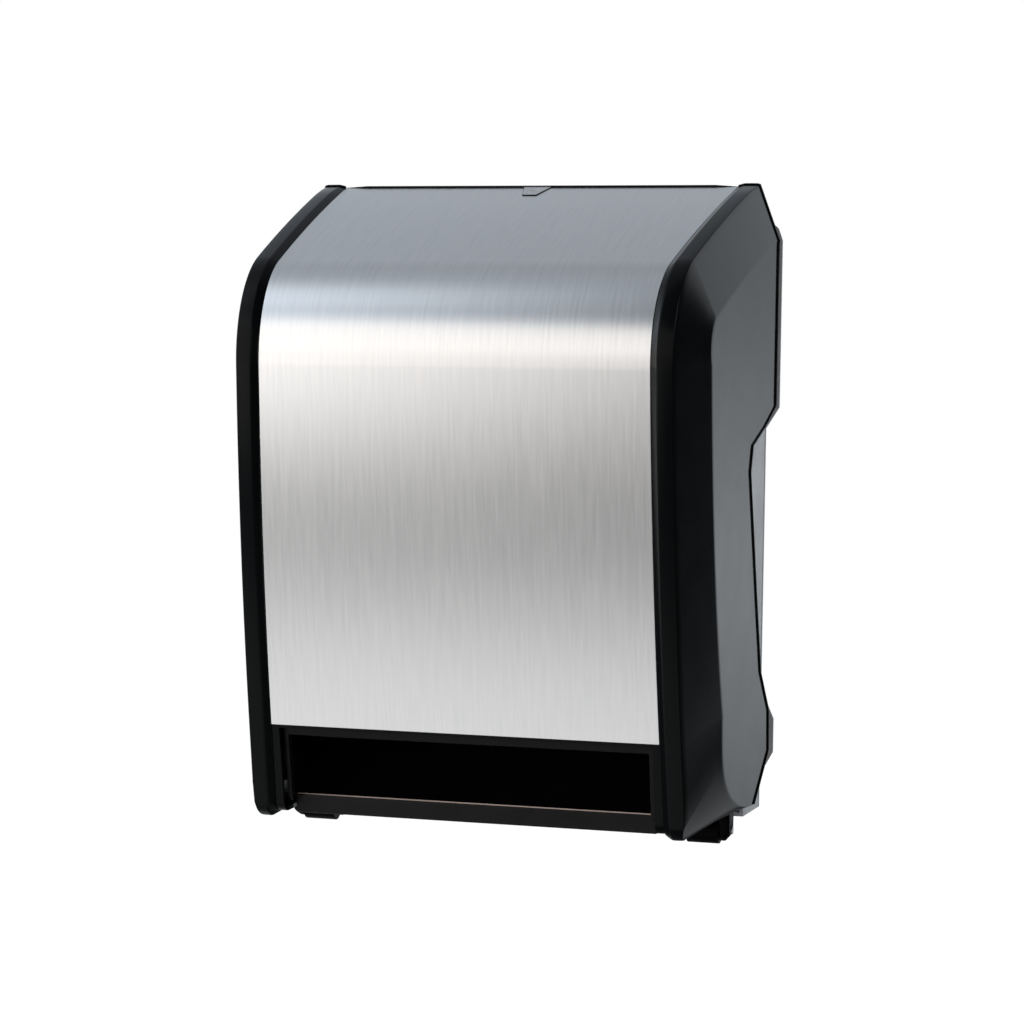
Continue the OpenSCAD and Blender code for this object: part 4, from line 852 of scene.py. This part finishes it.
def top_rows(layer):
    """The rows of the bead along the top: behind and before its crest, and at its foot."""
    first, second = cheek_row(0.0, layer), cheek_row(rings[1], layer)
    heading = math.radians(TOP_HEADING)
    up = Vector((0.0, -math.sin(heading), math.cos(heading)))
    rim_end = len(WEB_COLUMNS) + len(RIM_PROFILE)
    bevel_end = rim_end + len(BEVEL_SHARES)
    rows = [[], [], []]
    for column, (place, ahead) in enumerate(zip(first, second)):
        back = (place - ahead).normalized() * BEAD_WIDTH
        lean = 0.0 if column < rim_end - 2 else 0.5 if column < bevel_end - 1 else 1.0
        rise = up.lerp(Vector((1.0, 0.0, 0.0)), lean).normalized() * BEAD_HEIGHT
        if column < len(WEB_COLUMNS):
            rise += up * WEB_TOP
        if layer:
            rows[0].append(place + back)
            rows[1].append(place + back * 0.6)
            rows[2].append(place + back * 0.3)
        else:
            raised = Vector() if column >= len(first) - 2 else rise
            rows[0].append(place + back + raised)
            rows[1].append(place + raised)
            rows[2].append(place)
    return rows


# The recess opens a little below the sheet
RECESS_BELOW = 2.2 * MM
RECESS_RING = PANEL_END + 2 * RECESS_BELOW / (CHEEK_DROP * math.sin(math.radians(FRONT_HEADING)))
# Each run of rings: its first ring, its last and the number of rows in each ring
RING_RUNS = ((0, 4, 3), (4, 16, 3), (16, 21, 4), (21, 23, 4), (23, 27, 3), (27, 28, 6))
rings = sorted(
    [first + i / rows for first, last, rows in RING_RUNS for i in range((last - first) * rows)]
    + [RECESS_RING, float(LAST_RING)]
)
print("rings:", len(rings), "stations in half a row:", len(cheek_row(0.0, 0)))

# %% [markdown]
# Each row is mirrored, so both cheeks come from one set of stations. Faces inside the recess's opening
# are left out, and the outer and inner layers are joined wherever the outer one has an open edge.

# %% Lay the skin
def lay_skin():
    mesh = bmesh.new()
    layers = []
    for layer in (0, 1):
        grid = []
        for half in top_rows(layer) + [cheek_row(ring, layer) for ring in rings[1:]]:
            left = [Vector((-p.x, p.y, p.z)) for p in reversed(half[1:])]
            grid.append([mesh.verts.new(p) for p in left + half])
        layers.append(grid)
    outer, inner = layers
    places = [0.0, 0.0] + rings
    for row in range(len(places) - 1):
        for column in range(len(outer[0]) - 1):
            middle = abs(outer[row][column].co.x + outer[row][column + 1].co.x) / 2
            if places[row] >= RECESS_RING - 1e-6 and middle < OPENING_HALF - 1e-6:
                continue
            for grid, order in ((outer, 1), (inner, -1)):
                near, far = grid[row], grid[row + 1]
                corners = [near[column], far[column], far[column + 1], near[column + 1]]
                mesh.faces.new(corners[::order])
    partner = {a: b for ra, rb in zip(outer, inner) for a, b in zip(ra, rb)}
    for edge in [e for e in mesh.edges if len(e.link_faces) == 1 and e.verts[0] in partner]:
        a, b = edge.verts
        mesh.faces.new((a, b, partner[b], partner[a]))
    bmesh.ops.delete(mesh, geom=[v for v in mesh.verts if not v.link_faces], context="VERTS")
    bmesh.ops.recalc_face_normals(mesh, faces=mesh.faces[:])
    data = bpy.data.meshes.new("cover_skin")
    mesh.to_mesh(data)
    mesh.free()
    skin = bpy.data.objects.new("cover_skin", data)
    bpy.context.scene.collection.objects.link(skin)
    return skin


skin = lay_skin()
print("skin:", len(skin.data.polygons), "faces")

# %% [markdown]
# The web has a round bore for the lock's sleeve, cut like the notch. Its rear edges get a small round.

# %% Bore the skin for the lock and round its open edges
LOCK_BORE = 6.06 * MM


def bore_for_lock():
    deselect()
    bpy.ops.mesh.primitive_cylinder_add(
        vertices=48, radius=LOCK_BORE, depth=40.0 * MM, location=(0.0, LOCK_Y, LOCK_Z),
        rotation=(math.radians(TOP_HEADING), 0.0, 0.0),
    )
    drill = bpy.context.object
    apply_modifier(skin, "lock_bore", "BOOLEAN", operation="DIFFERENCE", object=drill, solver="EXACT")
    bpy.data.objects.remove(drill)


bore_for_lock()
round_edges(skin, EDGE_ROUND, 55.0)
smooth(skin, 35.0)
even_normals(skin)
dress(skin, "cover_black", "cover", "cover_shell")
print("skin finished:", len(skin.data.polygons), "faces")

# %% [markdown]
# ## The hinge ears
# Under each cheek hangs a flat ear with a round end, bored for the hinge pin. Its outline starts as a
# circle whose upper half is deleted, and the two open ends are drawn up to the cover. Its outer face
# slants inward below the pin.

# %% Ears
EAR_RADIUS, EAR_THICKNESS, EAR_INNER = 7.2 * MM, 6.8 * MM, 143.5 * MM
HINGE_Y, HINGE_Z, PIN_RADIUS = -66.0 * MM, -216.0 * MM, 2.55 * MM
EAR_TOP = cover_low + WALL * 0.6
EAR_SLANTS_FROM, EAR_SLANT = HINGE_Z - PIN_RADIUS, 0.8
NEARLY = 0.1 * MM


def make_ear(side):
    deselect()
    x = side * (EAR_INNER if side > 0 else EAR_INNER + EAR_THICKNESS)
    bpy.ops.mesh.primitive_circle_add(
        vertices=48, radius=EAR_RADIUS, location=(x, HINGE_Y, HINGE_Z),
        rotation=(0.0, math.radians(90.0), 0.0),
    )
    ear = bpy.context.object
    ear.name = "hinge_ear_right" if side > 0 else "hinge_ear_left"
    place_in_mesh(ear)
    edit(ear)
    select_vertices(ear, lambda place: place.z > HINGE_Z + NEARLY)
    bpy.ops.mesh.delete(type="VERT")
    select_vertices(ear, lambda place: abs(place.z - HINGE_Z) < NEARLY)
    bpy.ops.mesh.extrude_vertices_move(TRANSFORM_OT_translate={"value": (0.0, 0.0, EAR_TOP - HINGE_Z)})
    bpy.ops.mesh.select_all(action="SELECT")
    bpy.ops.mesh.edge_face_add()
    bpy.ops.mesh.extrude_region_move(TRANSFORM_OT_translate={"value": (EAR_THICKNESS, 0.0, 0.0)})
    bpy.ops.mesh.select_all(action="SELECT")
    bpy.ops.mesh.normals_make_consistent(inside=False)
    bpy.ops.object.mode_set(mode="OBJECT")
    deselect()
    bpy.ops.mesh.primitive_cylinder_add(
        vertices=32, radius=PIN_RADIUS, depth=EAR_THICKNESS * 3, location=(x, HINGE_Y, HINGE_Z),
        rotation=(0.0, math.radians(90.0), 0.0),
    )
    drill = bpy.context.object
    apply_modifier(ear, "pin_bore", "BOOLEAN", operation="DIFFERENCE", object=drill, solver="EXACT")
    bpy.data.objects.remove(drill)
    round_edges(ear, 0.5 * MM, 50.0)
    smooth(ear, 35.0)
    dress(ear, "cover_black", "cover", "cover_shell")
    ear.data.materials[0] = finishes["hinge_black"]
    for vertex in ear.data.vertices:
        below = EAR_SLANTS_FROM - vertex.co.z
        if below > 0.0 and abs(vertex.co.x) > EAR_INNER + EAR_THICKNESS / 2:
            vertex.co.x -= math.copysign(below * EAR_SLANT, vertex.co.x)
    return ear


ears = [make_ear(side) for side in (-1, 1)]
print("ears:", [ear.name for ear in ears])

# %% [markdown]
# ## Rounded copies of the inner solids
# Moulded and stamped pieces have no knife edges. Where a solid's shape is already right, a copy of it is
# merged, its flat faces are joined, and a narrow bevel rounds the sharp edges, so they catch the light.

# %% Soften the solids that show
def soften(name, width):
    """A copy of a frame solid with rounded edges, which takes the solid's place."""
    piece = bpy.data.objects.new(name + "_soft", nodes[name].data.copy())
    bpy.context.scene.collection.objects.link(piece)
    edit(piece)
    bpy.ops.mesh.select_all(action="SELECT")
    bpy.ops.mesh.remove_doubles(threshold=0.002 * MM)
    bpy.ops.mesh.dissolve_limited(angle_limit=math.radians(0.6))
    bpy.ops.object.mode_set(mode="OBJECT")
    round_edges(piece, width, 32.0, use_clamp_overlap=True)
    smooth(piece, 34.0)
    even_normals(piece)
    dress(piece, slot_of[name], bodies_of[name], name)
    return piece


# Width of each solid's rounds in mm
EDGE_WIDTHS = {
    "rear_housing": 0.6, "hinge_knuckle_left": 0.9, "hinge_knuckle_right": 0.9, "chute_bezel": 0.5,
    "recess_liner": 0.4, "lower_lip": 0.6, "lock_housing": 0.15, "lock_plug": 0.12,
    "module_chassis": 0.5, "gear_cover": 0.5, "roll_arm_left": 0.5,
    "roll_arm_right": 0.5, "battery_case": 0.5, "battery_door": 0.4, "control_panel": 0.3,
    "feed_button": 0.3, "length_switch": 0.3, "delay_switch": 0.3, "power_switch": 0.4,
    "strike_plate": 0.2, "pinch_frame": 0.4,
}
softened = {name: soften(name, width * MM) for name, width in EDGE_WIDTHS.items()}
print("softened:", len(softened), "solids")

# %% [markdown]
# The recess is darker than the other inner plastic: its darker finish is painted shade, because hardly
# any light finds its way in. The bar under it is a little taller than its solid, so its top and bottom
# are drawn apart, and the paler colour along its upper edge is a painted highlight. The lugs are nearly
# black, and each knuckle reaches a little further inward.

# %% Recess, lip and lugs
# The lip's paler upper band is a painted highlight: the last value here is how far below the top it
# reaches, and the next line gives its colour.
LIP_LOWERS, LIP_RISES, LIP_HIGHLIGHT_BAND = 1.2 * MM, 1.0 * MM, 0.75 * MM
LIP_HIGHLIGHT_COLOUR = (0.42, 0.34, 0.30)
KNUCKLE_REACHES = 4.5 * MM


def draw_apart(piece, wanted, offset):
    """Moves the vertices that pass the test, all together."""
    edit(piece)
    select_vertices(piece, wanted)
    bpy.ops.transform.translate(value=offset)
    bpy.ops.object.mode_set(mode="OBJECT")


# The recess liner gets the darker finish: painted shade.
softened["recess_liner"].data.materials[0] = finishes["recess_painted_shade_black"]

lip = softened["lower_lip"]
lip_low, lip_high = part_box("lower_lip")
lip_middle = (lip_low.z + lip_high.z) / 2
# The lip's finish paints a highlight along its upper edge.
finishes["lip_black_painted_highlight"] = plastic_with_painted_highlight("lip_black_painted_highlight", lip_high.z + LIP_RISES - LIP_HIGHLIGHT_BAND, LIP_HIGHLIGHT_COLOUR)
lip.data.materials[0] = finishes["lip_black_painted_highlight"]
draw_apart(lip, lambda place: place.z > lip_middle, (0.0, 0.0, LIP_RISES))
draw_apart(lip, lambda place: place.z < lip_middle, (0.0, 0.0, -LIP_LOWERS))

for name, side in (("hinge_knuckle_left", -1.0), ("hinge_knuckle_right", 1.0)):
    knuckle = softened[name]
    knuckle.data.materials[0] = finishes["hinge_black"]
    ends = [abs(vertex.co.x) for vertex in knuckle.data.vertices]
    middle = (min(ends) + max(ends)) / 2
    draw_apart(knuckle, lambda place: abs(place.x) < middle, (-side * KNUCKLE_REACHES, 0.0, 0.0))
print("lip is", round((lip_high.z - lip_low.z + LIP_RISES + LIP_LOWERS) / MM, 1), "mm tall")

# %% [markdown]
# The lock's pad and plug stand a little proud of the sheet, on a thin black skirt that shows as a line
# round the pad: a painted shadow line where the gap round the pad would be in shade. The skirt is the
# same wedge as the notch's cutter, with a smaller wedge cut out of it.

# %% Lock pad and its skirt
PAD_RISES = 0.65 * MM
PAD_GAP = 0.3 * MM
# How far the solid pad's top lies below the sheet's outer face, and a level inside its thickness
PAD_SINKS = SHEET_THICKNESS * 0.15
PAD_MIDDLE = 0.5 * MM - WEB_TOP
SKIRT_OUT, SKIRT_IN, SKIRT_BELOW, SKIRT_ROUND = 0.15 * MM, 0.5 * MM, 0.06 * MM, 0.08 * MM
pad_slope = math.radians(TOP_HEADING)


def above_pad_middle(place):
    """Whether a place is above the middle of the pad's thickness, measured square to the slope."""
    level = (place.z - LOCK_Z) * math.cos(pad_slope) - (place.y - LOCK_Y) * math.sin(pad_slope)
    return level > PAD_MIDDLE


pad_rise = (0.0, -math.sin(pad_slope) * PAD_RISES, math.cos(pad_slope) * PAD_RISES)
for name in ("lock_housing", "lock_plug"):
    draw_apart(softened[name], above_pad_middle, pad_rise)

# The skirt is black so that it shows as a painted shadow line round the pad.
skirt = make_wedge(PAD_GAP - SKIRT_OUT, -WEB_TOP, PAD_RISES - PAD_SINKS - SKIRT_BELOW)
hole = make_wedge(PAD_GAP + SKIRT_IN, -WEB_TOP * 2, PAD_RISES * 2)
skirt.name = "lock_pad_shadow_skirt"
apply_modifier(skirt, "hollow", "BOOLEAN", operation="DIFFERENCE", object=hole, solver="EXACT")
bpy.data.objects.remove(hole)
round_edges(skirt, SKIRT_ROUND, 50.0)
smooth(skirt, 35.0)
dress(skirt, "trim_black", "cover")
print("skirt:", len(skirt.data.polygons), "faces")

# %% [markdown]
# ## The solids that stay
# Shafts, gears, rollers, screws and the ribbed module cover are true shapes already, so they only get
# their finish.

# %% Finish the solids that stay
replaced = set(EDGE_WIDTHS) | {"steel_panel", "cover_shell"}
for name, node in nodes.items():
    if name in replaced:
        continue
    node.data.materials.clear()
    node.data.materials.append(finishes[slot_of[name]])
    smooth(node, 30.0)
print("kept as they are:", len(nodes) - len(replaced))
